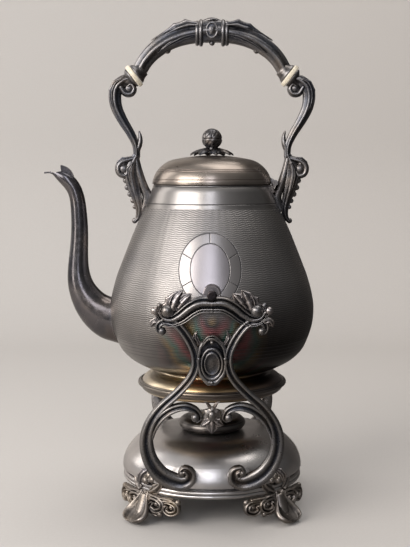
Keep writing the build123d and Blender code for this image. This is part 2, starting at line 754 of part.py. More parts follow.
def foot_wing(side):
    """Openwork of scrolls under the rim, on the side given by +1 or -1."""
    angle = radians(side * foot_wing_angle)
    place = Plane(origin=(foot_wing_radius * cos(angle), foot_wing_radius * sin(angle), foot_wing_top),
                  x_dir=(-side * sin(angle), side * cos(angle), 0), z_dir=(cos(angle), sin(angle), 0))
    down = place.y_dir.Z
    with BuildPart() as wing:
        with BuildSketch(place):
            for width, points in wing_scrolls:
                with BuildLine() as line:
                    Spline([(x, -down * drop) for x, drop in points])
                trace(line.line, line_width=width)
            for x, drop, radius in wing_knobs:
                with Locations((x, -down * drop)):
                    Circle(radius)
        extrude(amount=foot_wing_depth / 2, both=True)
        with BuildSketch(Plane.XY.offset(foot_wing_top)):
            Circle(2 * base_radius)
        extrude(amount=rim_height, mode=Mode.SUBTRACT)
    return wing.part


def foot_solid():
    """Cast foot on the +X side: a shell pad, a leg, two openwork wings under the rim and a leaf above."""
    with BuildPart() as casting:
        for index in range(foot_lobes):
            add(foot_lobe(28.0 * (index - (foot_lobes - 1) / 2)))
        add(foot_leg())
        with BuildSketch(Plane.XY):
            with Locations((foot_reach, 0)):
                Circle(foot_pad_radius)
        extrude(amount=0.35 * foot_pad_radius, taper=12)
        for side in (-1, 1):
            add(foot_wing(side))
        add(leaf_on_dome())
        with BuildSketch(Plane.XY):
            Circle(2 * base_radius)
        extrude(amount=-rim_height, mode=Mode.SUBTRACT)
        add(base_clearance, mode=Mode.SUBTRACT)
        add(turned(rim_section(seat_gap)), mode=Mode.SUBTRACT)
    return casting.part


def leaf_on_dome():
    """Leaf that climbs from the rim onto the base on the +X side."""
    with BuildPart() as leaf:
        with BuildSketch(Plane.XZ):
            with BuildLine():
                foot = (base_radius + 0.5, rim_bottom_height + 1.0)
                tip = (dome_shoulder[0] + 1.4, dome_shoulder[1] + 1.4)
                ThreePointArc(foot, (base_radius + 0.45, base_belly_height + 1.5), tip)
                ThreePointArc(tip, (base_radius + 3.2, base_belly_height + 4.0),
                              (base_radius + 3.4, rim_bottom_height + 1.0))
                Line((base_radius + 3.4, rim_bottom_height + 1.0), foot)
            make_face()
        revolve(axis=Axis.Z, revolution_arc=12)
    leaf = Rot(0, 0, -6) * leaf.part
    return leaf - base_clearance


foot_casting = foot_solid()
for name, azimuth in (("front_left", 225), ("front_right", 315), ("rear_right", 45), ("rear_left", 135)):
    finish(Rot(0, 0, azimuth) * foot_casting, "foot_" + name)

# ---------------------------------------------------------------- lyre frames

crest_z = pivot_height
cartouche_z = pivot_height - 51.7
bead_z = base_top_height + 28.0


def up(height):
    """Height above the floor as a distance along the leaning frame."""
    return height / cos(lean)


def lyre_lines():
    """Centre lines of the right half of a frame: strut, crest bar and inner scroll."""
    wide = lyre_half_width
    strut = [(wide - 14.7, crest_z - 28.4), (wide - 11.7, crest_z - 24.8), (wide - 15.3, crest_z - 21.0),
             (wide - 22.3, crest_z - 20.6), (wide - 29.1, crest_z - 25.4), (wide - 41.3, crest_z - 48.5), (wide - 38.3, crest_z - 62.5), (wide - 25.3, base_top_height + 48.0),
             (wide - 9.4, base_top_height + 33.8), (wide, base_top_height + 9.0),
             (wide - 10.3, base_top_height - 16.0), (wide - 26.0, base_top_height - 26.2),
             (wide - 36.4, base_top_height - 20.5), (stud_x - 2.0, stud_z + 4.6)]
    crest = [(3.4, crest_z - 4.6), (11.0, crest_z - 5.2), (18.0, crest_z - 11.0), (24.5, crest_z - 17.0),
             (31.0, crest_z - 16.6), (32.0, crest_z - 12.0)]
    scroll = [(wide - 4.6, base_top_height + 22.0), (wide - 13.0, base_top_height + 33.6),
              (wide - 26.0, base_top_height + 38.6), (wide - 38.0, base_top_height + 35.4),
              (wide - 41.6, base_top_height + 27.6)]
    return strut, crest, scroll


def ribbon(points, widths, share):
    """Flat strip along a smooth line in the frame's own plane, with a share of the widths given."""
    line = Edge.make_spline([Vector(x, up(height), 0) for x, height in points])
    steps = 4 * (len(widths) - 1)
    right = []
    left = []
    for step in range(steps + 1):
        index = min(step // 4, len(widths) - 2)
        width = widths[index] + (widths[index + 1] - widths[index]) * (step / 4 - index)
        across = (line % (step / steps)).cross(Vector(0, 0, 1)) * (share * width / 2)
        right.append(line @ (step / steps) + across)
        left.append(line @ (step / steps) - across)
    with BuildSketch() as strip:
        with BuildLine():
            Spline(right)
            Spline(left)
            Line(right[0], left[0])
            Line(right[-1], left[-1])
        make_face()
    return strip.sketch


def half_outline(share, swell):
    """Right half of a frame's face: its strips at a share of their width, its balls and leaves."""
    with BuildSketch() as half:
        for points, widths in zip(lyre_lines(), (strut_widths, crest_widths, scroll_widths)):
            add(ribbon(points, widths, share))
        balls = ((stud_x, stud_z, 4.4), (32.0, crest_z - 12.0, 3.9), (lyre_half_width - 41.0, bead_z - 1.0, 3.4),
                 (lyre_half_width - 14.9, crest_z - 28.6, 2.8))
        for x, height, radius in balls:
            with Locations((x, up(height))):
                Circle(radius * swell)
        leaves = ((39.6, crest_z - 10.4, 5.2, 3.0, -30), (22.5, crest_z - 9.5, 5.6, 3.2, 115),
                  (9.5, crest_z - 1.5, 3.6, 2.6, 60), (44.6, bead_z + 9.6, 5.0, 2.4, -50))
        for x, height, long, short, turn in leaves:
            with Locations(Location((x, up(height)), turn)):
                Ellipse(long * swell, short * swell)
    return half.sketch


def grooves():
    """Hollows between the two ridges of each strip of a frame's right half."""
    with BuildSketch() as cut:
        for points, widths in zip(lyre_lines(), (strut_widths, crest_widths, scroll_widths)):
            add(ribbon(points, widths, 0.24))
    return cut.sketch


def lyre_frame(side):
    """Cast openwork frame with a raised rib, an open saddle on top and a cartouche at its waist."""
    flat = half_outline(1.0, 1.0)
    rib = half_outline(0.74, 0.62)
    groove = grooves()
    with BuildPart() as frame:
        with BuildSketch(lyre_plane(side, 0)):
            add(flat)
            mirror(flat, about=Plane.YZ)
            with Locations((0, up(cartouche_z))):
                Ellipse(cartouche_half_width, cartouche_half_height)
            with Locations((0, up(bead_z))):
                Ellipse(10.0, 10.5)
            with Locations((0, up(bead_z + 11.0))):
                Ellipse(3.0, 4.4)
            with Locations((0, up(crest_z - 5.6))):
                Rectangle(3 * trunnion_radius, 9.0)
        extrude(amount=lyre_thickness)
        with BuildSketch(lyre_plane(side, lyre_thickness)):
            add(rib)
            mirror(rib, about=Plane.YZ)
            with Locations((0, up(cartouche_z))):
                Ellipse(cartouche_half_width - 1.2, cartouche_half_height - 1.4)
            with Locations((0, up(bead_z))):
                Ellipse(2.4, 3.2)
        extrude(amount=lyre_rib)
        with BuildSketch(lyre_plane(side, lyre_thickness + lyre_rib)):
            add(groove)
            mirror(groove, about=Plane.YZ)
            with Locations((0, up(cartouche_z))):
                Ellipse(cartouche_half_width + 1.0, cartouche_half_height + 1.0, mode=Mode.SUBTRACT)
        extrude(amount=-lyre_groove, mode=Mode.SUBTRACT)
        with BuildSketch(lyre_plane(side, lyre_thickness + lyre_rib)):
            with Locations((0, up(cartouche_z - 2.7))):
                Ellipse(0.76 * cartouche_half_width, 0.62 * cartouche_half_height)
                Ellipse(0.5 * cartouche_half_width, 0.36 * cartouche_half_height, mode=Mode.SUBTRACT)
        extrude(amount=-1.5 * lyre_rib, mode=Mode.SUBTRACT)
        for x in (-stud_x, stud_x):
            with BuildSketch(stud_plane(side, x, 0)):
                Circle(2.2 * stud_radius)
            extrude(amount=-12.0)
            with BuildSketch(stud_plane(side, x, 0.5 * lyre_thickness)):
                Circle(stud_radius + pivot_gap)
            extrude(amount=-20.0, mode=Mode.SUBTRACT)
        add(base_clearance, mode=Mode.SUBTRACT)
        with BuildSketch(Plane.XZ.offset(-2 * body_radius)):
            with Locations((0, pivot_height)):
                Circle(trunnion_radius + pivot_gap)
            with Locations((0, pivot_height + 10.0)):
                Rectangle(2 * (trunnion_radius + pivot_gap), 20.0)
        extrude(amount=4 * body_radius, mode=Mode.SUBTRACT)
    return frame.part


finish(lyre_frame(-1), "frame_front")
finish(lyre_frame(1), "frame_rear")

with BuildPart() as frame_studs:
    for side in (-1, 1):
        for x in (-stud_x, stud_x):
            with BuildSketch(stud_plane(side, x, 0.5 * lyre_thickness - seat_gap)):
                Circle(stud_radius)
            extrude(amount=-16.5)
finish(frame_studs.part, "frame_studs")

base_inside = turned(dome_section(-base_wall - seat_gap))
with BuildPart() as frame_nuts:
    for side in (-1, 1):
        for x in (-stud_x, stud_x):
            with BuildSketch(stud_plane(side, x, -4.0)):
                RegularPolygon(4.0, 6)
            extrude(amount=-9.5)
    add(base_inside, mode=Mode.INTERSECT)
    for side in (-1, 1):
        for x in (-stud_x, stud_x):
            with BuildSketch(stud_plane(side, x, 0)):
                Circle(stud_radius + pivot_gap)
            extrude(amount=-20.0, mode=Mode.SUBTRACT)
finish(frame_nuts.part, "frame_nuts")

# ---------------------------------------------------------------- spirit lamp

lamp_floor = base_top_height + seat_gap
lamp_top = lamp_floor + lamp_height
filler_radius = burner_radius + 2.0


def lamp_section(inset):
    """Half section of the reservoir's outer skin, moved inwards by inset."""
    with BuildSketch(Plane.XZ) as section:
        with BuildLine():
            heel = (0.78 * lamp_radius - inset, lamp_floor + inset)
            bulge = (lamp_radius - inset, lamp_floor + 0.48 * lamp_height)
            shoulder = (0.74 * lamp_radius, lamp_top - 1.6 - inset)
            Polyline((0, lamp_top - inset), (0, lamp_floor + inset), heel)
            ThreePointArc(heel, (lamp_radius - 2.0 - inset, lamp_floor + 0.17 * lamp_height + 0.6 * inset), bulge)
            ThreePointArc(bulge, (lamp_radius - 2.4 - inset, lamp_floor + 0.75 * lamp_height - 0.6 * inset),
                          shoulder)
            Polyline(shoulder, (filler_radius, lamp_top - inset), (0, lamp_top - inset))
        make_face()
    return section.sketch


with BuildPart() as lamp_reservoir:
    add(turned(lamp_section(0)))
    add(turned(lamp_section(lamp_wall)), mode=Mode.SUBTRACT)
    with BuildSketch(Plane.XY.offset(lamp_top - 3 * lamp_wall)):
        Circle(burner_radius - 1.5)
    extrude(amount=5 * lamp_wall, mode=Mode.SUBTRACT)
finish(lamp_reservoir.part, "lamp_reservoir")

with BuildPart() as burner_collar:
    with BuildSketch(Plane.XY.offset(lamp_top + seat_gap)):
        Circle(burner_radius)
        Circle(wick_tube_radius + pivot_gap, mode=Mode.SUBTRACT)
    extrude(amount=1.6)
    fillet(burner_collar.edges().group_by(Axis.Z)[-1].sort_by(SortBy.RADIUS)[-1], 0.6)
finish(burner_collar.part, "burner_collar")

with BuildPart() as wick_tube:
    with BuildSketch(Plane.XY.offset(lamp_top - 6.0)):
        Circle(wick_tube_radius)
        Circle(wick_radius + seat_gap, mode=Mode.SUBTRACT)
    extrude(amount=base_top_height + wick_tube_top - lamp_top + 6.0)
finish(wick_tube.part, "wick_tube")

with BuildPart() as wick:
    with BuildSketch(Plane.XY.offset(lamp_floor + lamp_wall + 0.5)):
        Circle(wick_radius)
    extrude(amount=wick_tube_top - lamp_wall)
finish(wick.part, "wick")
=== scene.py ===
import bpy
import bmesh
import math
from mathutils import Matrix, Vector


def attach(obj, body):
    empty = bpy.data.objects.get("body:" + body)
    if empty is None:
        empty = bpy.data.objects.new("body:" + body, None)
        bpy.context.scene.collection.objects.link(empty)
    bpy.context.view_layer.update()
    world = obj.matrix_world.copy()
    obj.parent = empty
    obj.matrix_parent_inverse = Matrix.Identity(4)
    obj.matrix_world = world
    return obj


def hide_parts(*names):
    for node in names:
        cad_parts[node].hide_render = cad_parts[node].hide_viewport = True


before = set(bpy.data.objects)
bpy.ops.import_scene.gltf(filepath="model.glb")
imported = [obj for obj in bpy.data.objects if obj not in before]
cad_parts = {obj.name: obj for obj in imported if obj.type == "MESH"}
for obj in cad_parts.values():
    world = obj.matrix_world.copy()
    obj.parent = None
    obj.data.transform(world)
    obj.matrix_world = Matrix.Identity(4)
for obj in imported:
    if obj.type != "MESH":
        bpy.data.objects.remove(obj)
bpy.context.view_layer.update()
mm = 0.001
print("frame loaded")


# small helpers

def linkObject(name, data):
    thing = bpy.data.objects.new(name, data)
    bpy.context.scene.collection.objects.link(thing)
    return thing


def linear(hexColour):  # sRGB hex to linear colour
    channels = [int(hexColour[i:i + 2], 16) / 255 for i in (1, 3, 5)]
    return tuple(c / 12.92 if c <= 0.04045 else ((c + 0.055) / 1.055) ** 2.4 for c in channels) + (1.0,)


def addNode(tree, kind, inputs=(), **settings):
    # inputs go by name, or in order as a list; each is a link, a value or a hex colour
    # a map range takes its value, then from low and high, then to low and high
    node = tree.nodes.new(kind)
    for key, value in settings.items():
        setattr(node, key, value)
    for key, value in inputs.items() if isinstance(inputs, dict) else enumerate(inputs):
        if isinstance(value, bpy.types.Node):
            tree.links.new(value.outputs[0], node.inputs[key])
        elif isinstance(value, bpy.types.NodeSocket):
            tree.links.new(value, node.inputs[key])
        else:
            node.inputs[key].default_value = linear(value) if isinstance(value, str) else value
    return node


def addScratches(tree, place, around, along):  # fine marks drawn out round the axis
    stretch = addNode(tree, "ShaderNodeMapping", {"Vector": place, "Scale": (around, around, along)})
    return addNode(tree, "ShaderNodeTexNoise", {"Vector": stretch, "Scale": 1.0, "Detail": 3.0})


def addLine(tree, value, goal, wide, thin):  # 1 where the value meets its goal, fading out between thin and wide
    offset = addNode(tree, "ShaderNodeMath", [value, goal], operation="SUBTRACT")
    distance = addNode(tree, "ShaderNodeMath", [offset], operation="ABSOLUTE")
    return addNode(tree, "ShaderNodeMapRange", [distance, wide, thin])


def addMost(tree, values):  # the largest of several values
    most = values[0]
    for value in values[1:]:
        most = addNode(tree, "ShaderNodeMath", [most, value], operation="MAXIMUM")
    return most


def fillRamp(ramp, stops):  # colour stops as (place, hex)
    elements = ramp.color_ramp.elements
    while len(elements) > 1:
        elements.remove(elements[-1])
    for index, (place, colour) in enumerate(stops):
        stop = elements[0] if index == 0 else elements.new(place)
        stop.position = place
        stop.color = linear(colour)
    return ramp


def newMaterial(name):
    material = bpy.data.materials.new(name)
    material.use_nodes = True
    tree = material.node_tree
    tree.nodes.clear()
    shader = addNode(tree, "ShaderNodeBsdfPrincipled")
    addNode(tree, "ShaderNodeOutputMaterial", {"Surface": shader})
    place = addNode(tree, "ShaderNodeTexCoord").outputs["Object"]
    return material, tree, shader, place


def dressMetal(tree, shader, colour, gloss, relief):
    for key, value in (("Base Color", colour), ("Roughness", gloss), ("Normal", relief)):
        tree.links.new(value.outputs[0], shader.inputs[key])
    shader.inputs["Metallic"].default_value = 1.0


# finishes

castLook = {"ridge": "#8D8A89", "hollow": "#151517", "blue": "#3F4757", "brown": "#6B6058", "roughness": 0.31,
            "cloudMm": 22.0, "grainMm": 1.1, "grainDepth": 0.25, "speck": 0.5}


def castPlate(name, look):  # silver plate on cast white metal, tarnished black and rubbed bright on its ridges
    material, tree, shader, place = newMaterial(name)
    cloud = addNode(tree, "ShaderNodeTexNoise", {"Vector": place, "Scale": 1000 / look["cloudMm"], "Detail": 4.0})
    grain = addNode(tree, "ShaderNodeTexNoise", {"Vector": place, "Scale": 1000 / look["grainMm"], "Detail": 3.0})
    shape = addNode(tree, "ShaderNodeNewGeometry").outputs["Pointiness"]
    rubbed = addNode(tree, "ShaderNodeMapRange", [shape, 0.455, 0.56])
    speck = addNode(tree, "ShaderNodeMath", [grain, look["speck"], -0.5 * look["speck"]], operation="MULTIPLY_ADD")
    worn = addNode(tree, "ShaderNodeMath", [rubbed, speck], operation="ADD", use_clamp=True)
    metal = addNode(tree, "ShaderNodeMixRGB", [worn, look["hollow"], look["ridge"]])
    bluing = addNode(tree, "ShaderNodeMapRange", [cloud, 0.42, 0.68, 0.0, 0.6])
    tinted = addNode(tree, "ShaderNodeMixRGB", [bluing, metal, look["blue"]])
    warmth = addNode(tree, "ShaderNodeMapRange", [cloud, 0.48, 0.3, 0.0, 0.5])
    warmed = addNode(tree, "ShaderNodeMixRGB", [warmth, tinted, look["brown"]])
    gloss = addNode(tree, "ShaderNodeMapRange", [grain, 0.3, 0.7, look["roughness"] - 0.07, look["roughness"] + 0.1])
    relief = addNode(tree, "ShaderNodeBump", {"Height": grain, "Strength": look["grainDepth"], "Distance": 0.0002})
    dressMetal(tree, shader, warmed, gloss, relief)
    return material


bodyLook = {"plain": "#A09D9B", "bright": "#9B979A", "groove": "#545355", "smoke": "#62646A", "straw": "#B8924E",
            "rose": "#A35E62", "green": "#5E9084", "sootAndShade": "#1C1918", "turnedFrom": 146.0, "turnedTo": 254.6,
            "bandFrom": 134.0, "bandPitch": 3.0, "pitch": 1.7, "waveAngle": 66.0, "waveDepth": 1.1, "ovalX": -1.5,
            "ovalZ": 207.6, "outer": (24.6, 28.4), "inner": (15.6, 20.3), "spokes": 6, "ovalLines": (0.02, 0.028),
            "lines": (258.2, 272.6), "cloudScale": 26.0,
            # soot low on the bowl, with painted shade on its right side
            "sootAndShadeFrom": 196.0, "sootAndShadeTo": 146.0, "sootAndShadeLeft": -60.0, "sootAndShadeRight": -8.0, "sootAndShadeMost": 0.92,
            "heatFrom": 176.0, "heatTo": 158.0, "heatHalf": (46.0, 18.0), "heatMost": 0.62, "arcCentre": 168.0,
            "arcsPerMm": 0.05, "arcWander": 1.7, "scratches": (90.0, 2200.0)}


def engineTurnedPlate(name, look):  # spun brass, silver plated, with rose-engine waves round it and a plain oval
    material, tree, shader, place = newMaterial(name)
    axes = addNode(tree, "ShaderNodeSeparateXYZ", {"Vector": place})
    x = addNode(tree, "ShaderNodeMath", [axes.outputs[0], 1000.0], operation="MULTIPLY")
    z = addNode(tree, "ShaderNodeMath", [axes.outputs[2], 1000.0], operation="MULTIPLY")
    turn = addNode(tree, "ShaderNodeMath", [axes.outputs[1], axes.outputs[0]], operation="ARCTAN2")
    # the waves: rings of one pitch, each rising and falling many times round the body
    waveTurn = addNode(tree, "ShaderNodeMath", [turn, look["waveAngle"]], operation="MULTIPLY")
    sway = addNode(tree, "ShaderNodeMath", [waveTurn], operation="SINE")
    climb = addNode(tree, "ShaderNodeMath", [z, 2 * math.pi / look["pitch"]], operation="MULTIPLY")
    phase = addNode(tree, "ShaderNodeMath", [sway, look["waveDepth"], climb], operation="MULTIPLY_ADD")
    wave = addNode(tree, "ShaderNodeMath", [phase], operation="SINE")
    low = addNode(tree, "ShaderNodeMapRange", [z, look["turnedFrom"] - 0.4, look["turnedFrom"] + 0.4])
    high = addNode(tree, "ShaderNodeMapRange", [z, look["turnedTo"] + 0.4, look["turnedTo"] - 0.4])
    turned = addNode(tree, "ShaderNodeMath", [low, high], operation="MULTIPLY")
    # the oval: how far out a point lies, 1 on the line
    fromOval = []
    for half in (look["outer"], look["inner"]):
        across = addNode(tree, "ShaderNodeMath", [x, 1 / half[0], -look["ovalX"] / half[0]], operation="MULTIPLY_ADD")
        rise = addNode(tree, "ShaderNodeMath", [z, 1 / half[1], -look["ovalZ"] / half[1]], operation="MULTIPLY_ADD")
        spot = addNode(tree, "ShaderNodeCombineXYZ", {"X": across, "Y": rise})
        fromOval.append(addNode(tree, "ShaderNodeVectorMath", {0: spot}, operation="LENGTH").outputs[1])
    inOuter = addNode(tree, "ShaderNodeMapRange", [fromOval[0], 1.012, 0.988])
    inInner = addNode(tree, "ShaderNodeMapRange", [fromOval[1], 1.015, 0.985])
    outside = addNode(tree, "ShaderNodeMath", [1.0, inOuter], operation="SUBTRACT")
    wavy = addNode(tree, "ShaderNodeMath", [turned, outside], operation="MULTIPLY")
    # engraved lines: both ovals and the spokes between them
    cuts = []
    for distance, width in zip(fromOval, look["ovalLines"]):
        cuts.append(addLine(tree, distance, 1.0, width, 0.4 * width))
    offX = addNode(tree, "ShaderNodeMath", [x, look["ovalX"]], operation="SUBTRACT")
    offZ = addNode(tree, "ShaderNodeMath", [z, look["ovalZ"]], operation="SUBTRACT")
    clock = addNode(tree, "ShaderNodeMath", [offX, offZ], operation="ARCTAN2")
    spokeTurn = addNode(tree, "ShaderNodeMath", [clock, look["spokes"] / 2], operation="MULTIPLY")
    spokeWave = addNode(tree, "ShaderNodeMath", [spokeTurn], operation="SINE")
    fromSpoke = addNode(tree, "ShaderNodeMath", [spokeWave], operation="ABSOLUTE")
    spoke = addNode(tree, "ShaderNodeMapRange", [fromSpoke, 0.07, 0.02])
    notInner = addNode(tree, "ShaderNodeMath", [inOuter, inInner], operation="SUBTRACT")
    cuts.append(addNode(tree, "ShaderNodeMath", [spoke, notInner], operation="MULTIPLY", use_clamp=True))
    # turned lines round the neck, and the close band of them under the waves
    cuts += [addLine(tree, z, height, 0.5, 0.15) for height in look["lines"]]
    bandLow = addNode(tree, "ShaderNodeMapRange", [z, look["bandFrom"] - 0.3, look["bandFrom"] + 0.3])
    band = addNode(tree, "ShaderNodeMath", [bandLow, low], operation="SUBTRACT", use_clamp=True)
    ringClimb = addNode(tree, "ShaderNodeMath", [z, 2 * math.pi / look["bandPitch"]], operation="MULTIPLY")
    ringWave = addNode(tree, "ShaderNodeMath", [ringClimb], operation="SINE")
    ringCut = addNode(tree, "ShaderNodeMapRange", [ringWave, 0.5, 1.0, 0.0, 0.6])
    cuts.append(addNode(tree, "ShaderNodeMath", [ringCut, band], operation="MULTIPLY"))
    cut = addMost(tree, cuts)
    # colour: plain plate, darker in the waves, smoked in clouds, straw and rose where the flame has been
    cloud = addNode(tree, "ShaderNodeTexNoise", {"Vector": place, "Scale": look["cloudScale"], "Detail": 5.0})
    smoke = addNode(tree, "ShaderNodeMapRange", [cloud, 0.4, 0.75, 0.0, 0.45])
    plate = addNode(tree, "ShaderNodeMixRGB", [smoke, look["plain"], look["smoke"]])
    polish = addNode(tree, "ShaderNodeMapRange", [inInner, 0.0, 1.0, 0.3])
    brightness = addNode(tree, "ShaderNodeMath", [polish, inOuter], operation="MULTIPLY")
    shiny = addNode(tree, "ShaderNodeMixRGB", [brightness, plate, look["bright"]])
    dip = addNode(tree, "ShaderNodeMapRange", [wave, -0.4, 0.9, 0.0, 0.55])
    shade = addNode(tree, "ShaderNodeMath", [dip, wavy], operation="MULTIPLY")
    waved = addNode(tree, "ShaderNodeMixRGB", [shade, shiny, look["groove"]])
    # soot from the flame, darkest low down, with painted shade on the right, the side away from the spout and the
    # light
    lowDown = addNode(tree, "ShaderNodeMapRange", [z, look["sootAndShadeFrom"], look["sootAndShadeTo"]])
    shadedSide = addNode(tree, "ShaderNodeMapRange", [x, look["sootAndShadeLeft"], look["sootAndShadeRight"], 0.25])
    sootAndShadeMask = addNode(tree, "ShaderNodeMath", [lowDown, shadedSide], operation="MULTIPLY")
    sootAndShadeAmount = addNode(tree, "ShaderNodeMath", [sootAndShadeMask, look["sootAndShadeMost"]], operation="MULTIPLY")
    sootedAndShaded = addNode(tree, "ShaderNodeMixRGB", [sootAndShadeAmount, waved, look["sootAndShade"]])
    # rainbow arcs spread from the middle of the bowl, front and back
    heat = addNode(tree, "ShaderNodeMapRange", [z, look["heatFrom"], look["heatTo"]])
    fromMiddle = addNode(tree, "ShaderNodeMath", [x], operation="ABSOLUTE")
    middle = addNode(tree, "ShaderNodeMapRange", [fromMiddle, *look["heatHalf"]])
    hot = addNode(tree, "ShaderNodeMath", [heat, middle], operation="MULTIPLY")
    patch = addNode(tree, "ShaderNodeMapRange", [cloud, 0.3, 0.55])
    tinting = addNode(tree, "ShaderNodeMath", [hot, patch], operation="MULTIPLY", use_clamp=True)
    tintAmount = addNode(tree, "ShaderNodeMath", [tinting, look["heatMost"]], operation="MULTIPLY")
    fromCentre = addNode(tree, "ShaderNodeMath", [z, look["arcCentre"]], operation="SUBTRACT")
    offset = addNode(tree, "ShaderNodeCombineXYZ", {"X": x, "Y": fromCentre})
    spread = addNode(tree, "ShaderNodeVectorMath", {0: offset}, operation="LENGTH").outputs[1]
    wander = addNode(tree, "ShaderNodeMath", [cloud, look["arcWander"]], operation="MULTIPLY")
    hue = addNode(tree, "ShaderNodeMath", [spread, look["arcsPerMm"], wander], operation="MULTIPLY_ADD")
    hueLoop = addNode(tree, "ShaderNodeMath", [hue], operation="FRACT")
    tint = fillRamp(addNode(tree, "ShaderNodeValToRGB", {"Fac": hueLoop}),
                    [(0.0, look["straw"]), (0.25, look["sootAndShade"]), (0.5, look["rose"]), (0.75, look["green"]),
                     (1.0, look["straw"])])
    heated = addNode(tree, "ShaderNodeMixRGB", [tintAmount, sootedAndShaded, tint])
    engraved = addNode(tree, "ShaderNodeMixRGB", [cut, heated, look["groove"]])
    # relief: waves and cuts, then the fine scratches of years of polishing
    depth = addNode(tree, "ShaderNodeMath", [wave, wavy], operation="MULTIPLY")
    sunk = addNode(tree, "ShaderNodeMath", [cut, 3.0, depth], operation="MULTIPLY_ADD")
    scratch = addScratches(tree, place, *look["scratches"])
    carved = addNode(tree, "ShaderNodeBump", {"Height": sunk, "Strength": 0.55, "Distance": 0.0001}, invert=True)
    relief = addNode(tree, "ShaderNodeBump",
                     {"Height": scratch, "Strength": 0.12, "Distance": 0.0001, "Normal": carved})
    gloss = addNode(tree, "ShaderNodeMapRange", [wavy, 0.0, 1.0, 0.25, 0.36])
    mottle = addNode(tree, "ShaderNodeMath", [cloud, 0.12, gloss], operation="MULTIPLY_ADD")
    dressMetal(tree, shader, engraved, mottle, relief)
    return material


turnedLook = {"plain": "#A0978F", "smoke": "#6C615C", "roughness": 0.27, "lines": (284.9, 286.4, 278.2),
              "scratches": (120.0, 2600.0)}


def turnedPlate(name, look):  # spun plate polished on the lathe: fine rings about the axis, soft smoky clouds
    material, tree, shader, place = newMaterial(name)
    axes = addNode(tree, "ShaderNodeSeparateXYZ", {"Vector": place})
    z = addNode(tree, "ShaderNodeMath", [axes.outputs[2], 1000.0], operation="MULTIPLY")
    cloud = addNode(tree, "ShaderNodeTexNoise", {"Vector": place, "Scale": 30.0, "Detail": 5.0})
    smoke = addNode(tree, "ShaderNodeMapRange", [cloud, 0.4, 0.72, 0.0, 0.6])
    plate = addNode(tree, "ShaderNodeMixRGB", [smoke, look["plain"], look["smoke"]])
    cut = addMost(tree, [addLine(tree, z, height, 0.4, 0.1) for height in look["lines"]])
    lined = addNode(tree, "ShaderNodeMixRGB", [cut, plate, look["smoke"]])
    scratch = addScratches(tree, place, *look["scratches"])
    carved = addNode(tree, "ShaderNodeBump", {"Height": cut, "Strength": 0.5, "Distance": 0.0002}, invert=True)
    relief = addNode(tree, "ShaderNodeBump",
                     {"Height": scratch, "Strength": 0.15, "Distance": 0.0001, "Normal": carved})
    gloss = addNode(tree, "ShaderNodeMath", [cloud, 0.14, look["roughness"] - 0.05], operation="MULTIPLY_ADD")
    dressMetal(tree, shader, lined, gloss, relief)
    return material


tintedLook = {"plain": "#C2BBB3", "reeds": "#6C6867", "straw": "#DCCFB6", "gold": "#C2A67C", "brown": "#6E5F57",
              "blue": "#55565E", "roughness": 0.32, "heatAndShadeDrift": (4.4, 0.26), "rimFrom": 0.0598, "rimTo": 0.0608,
              "scratches": (90.0, 2400.0)}


def heatTintedPlate(name, look):  # plate that the flame has coloured, straw to gold to brown and blue, with painted shade that makes it darker towards the right
    material, tree, shader, place = newMaterial(name)
    axes = addNode(tree, "ShaderNodeSeparateXYZ", {"Vector": place})
    cloud = addNode(tree, "ShaderNodeTexNoise", {"Vector": place, "Scale": 19.0, "Detail": 3.0})
    # painted shade: the tint runs pale on the left and darker towards +x, the side away from the light
    heatAndShadeDrift = addNode(tree, "ShaderNodeMath", [axes.outputs[0], *look["heatAndShadeDrift"]], operation="MULTIPLY_ADD")
    heat = addNode(tree, "ShaderNodeMath", [cloud, 0.5, heatAndShadeDrift], operation="MULTIPLY_ADD", use_clamp=True)
    colour = fillRamp(addNode(tree, "ShaderNodeValToRGB", {"Fac": heat}),
                      [(0.15, look["plain"]), (0.34, look["straw"]), (0.52, look["gold"]), (0.7, look["brown"]),
                       (0.86, look["blue"]), (1.0, look["plain"])])
    # the reeds of the rim have kept their grey tarnish
    flat = addNode(tree, "ShaderNodeCombineXYZ", {"X": axes.outputs[0], "Y": axes.outputs[1]})
    reach = addNode(tree, "ShaderNodeVectorMath", {0: flat}, operation="LENGTH").outputs[1]
    rim = addNode(tree, "ShaderNodeMapRange", [reach, look["rimFrom"], look["rimTo"], 0.0, 0.85])
    rimmed = addNode(tree, "ShaderNodeMixRGB", [rim, colour, look["reeds"]])
    scratch = addScratches(tree, place, *look["scratches"])
    relief = addNode(tree, "ShaderNodeBump", {"Height": scratch, "Strength": 0.15, "Distance": 0.0001})
    gloss = addNode(tree, "ShaderNodeMath", [cloud, 0.16, look["roughness"] - 0.06], operation="MULTIPLY_ADD")
    dressMetal(tree, shader, rimmed, gloss, relief)
    return material


boneLook = {"pale": "#E6DECB", "shade": "#B9A988", "roughness": 0.38, "refraction": 1.54, "grainMm": 1.5}


def turnedBone(name, look):  # bone, turned and polished: cream with faint brown grain, a soft surface shine
    material, tree, shader, place = newMaterial(name)
    stretch = addNode(tree, "ShaderNodeMapping", {"Vector": place, "Scale": (1.0, 5.0, 1.0)})
    grain = addNode(tree, "ShaderNodeTexNoise",
                    {"Vector": stretch, "Scale": 1000 / look["grainMm"] / 4, "Detail": 5.0})
    age = addNode(tree, "ShaderNodeMapRange", [grain, 0.5, 0.8, 0.0, 0.6])
    colour = addNode(tree, "ShaderNodeMixRGB", [age, look["pale"], look["shade"]])
    relief = addNode(tree, "ShaderNodeBump", {"Height": grain, "Strength": 0.1, "Distance": 0.0001})
    tree.links.new(colour.outputs[0], shader.inputs["Base Color"])
    tree.links.new(relief.outputs[0], shader.inputs["Normal"])
    shader.inputs["Roughness"].default_value = look["roughness"]
    shader.inputs["IOR"].default_value = look["refraction"]
    return material


wickLook = {"yarn": "#CFC7B4", "charred": "#2A2624", "roughness": 0.9, "strandMm": 1.2, "charredFrom": 0.074,
            "charredTo": 0.0768}


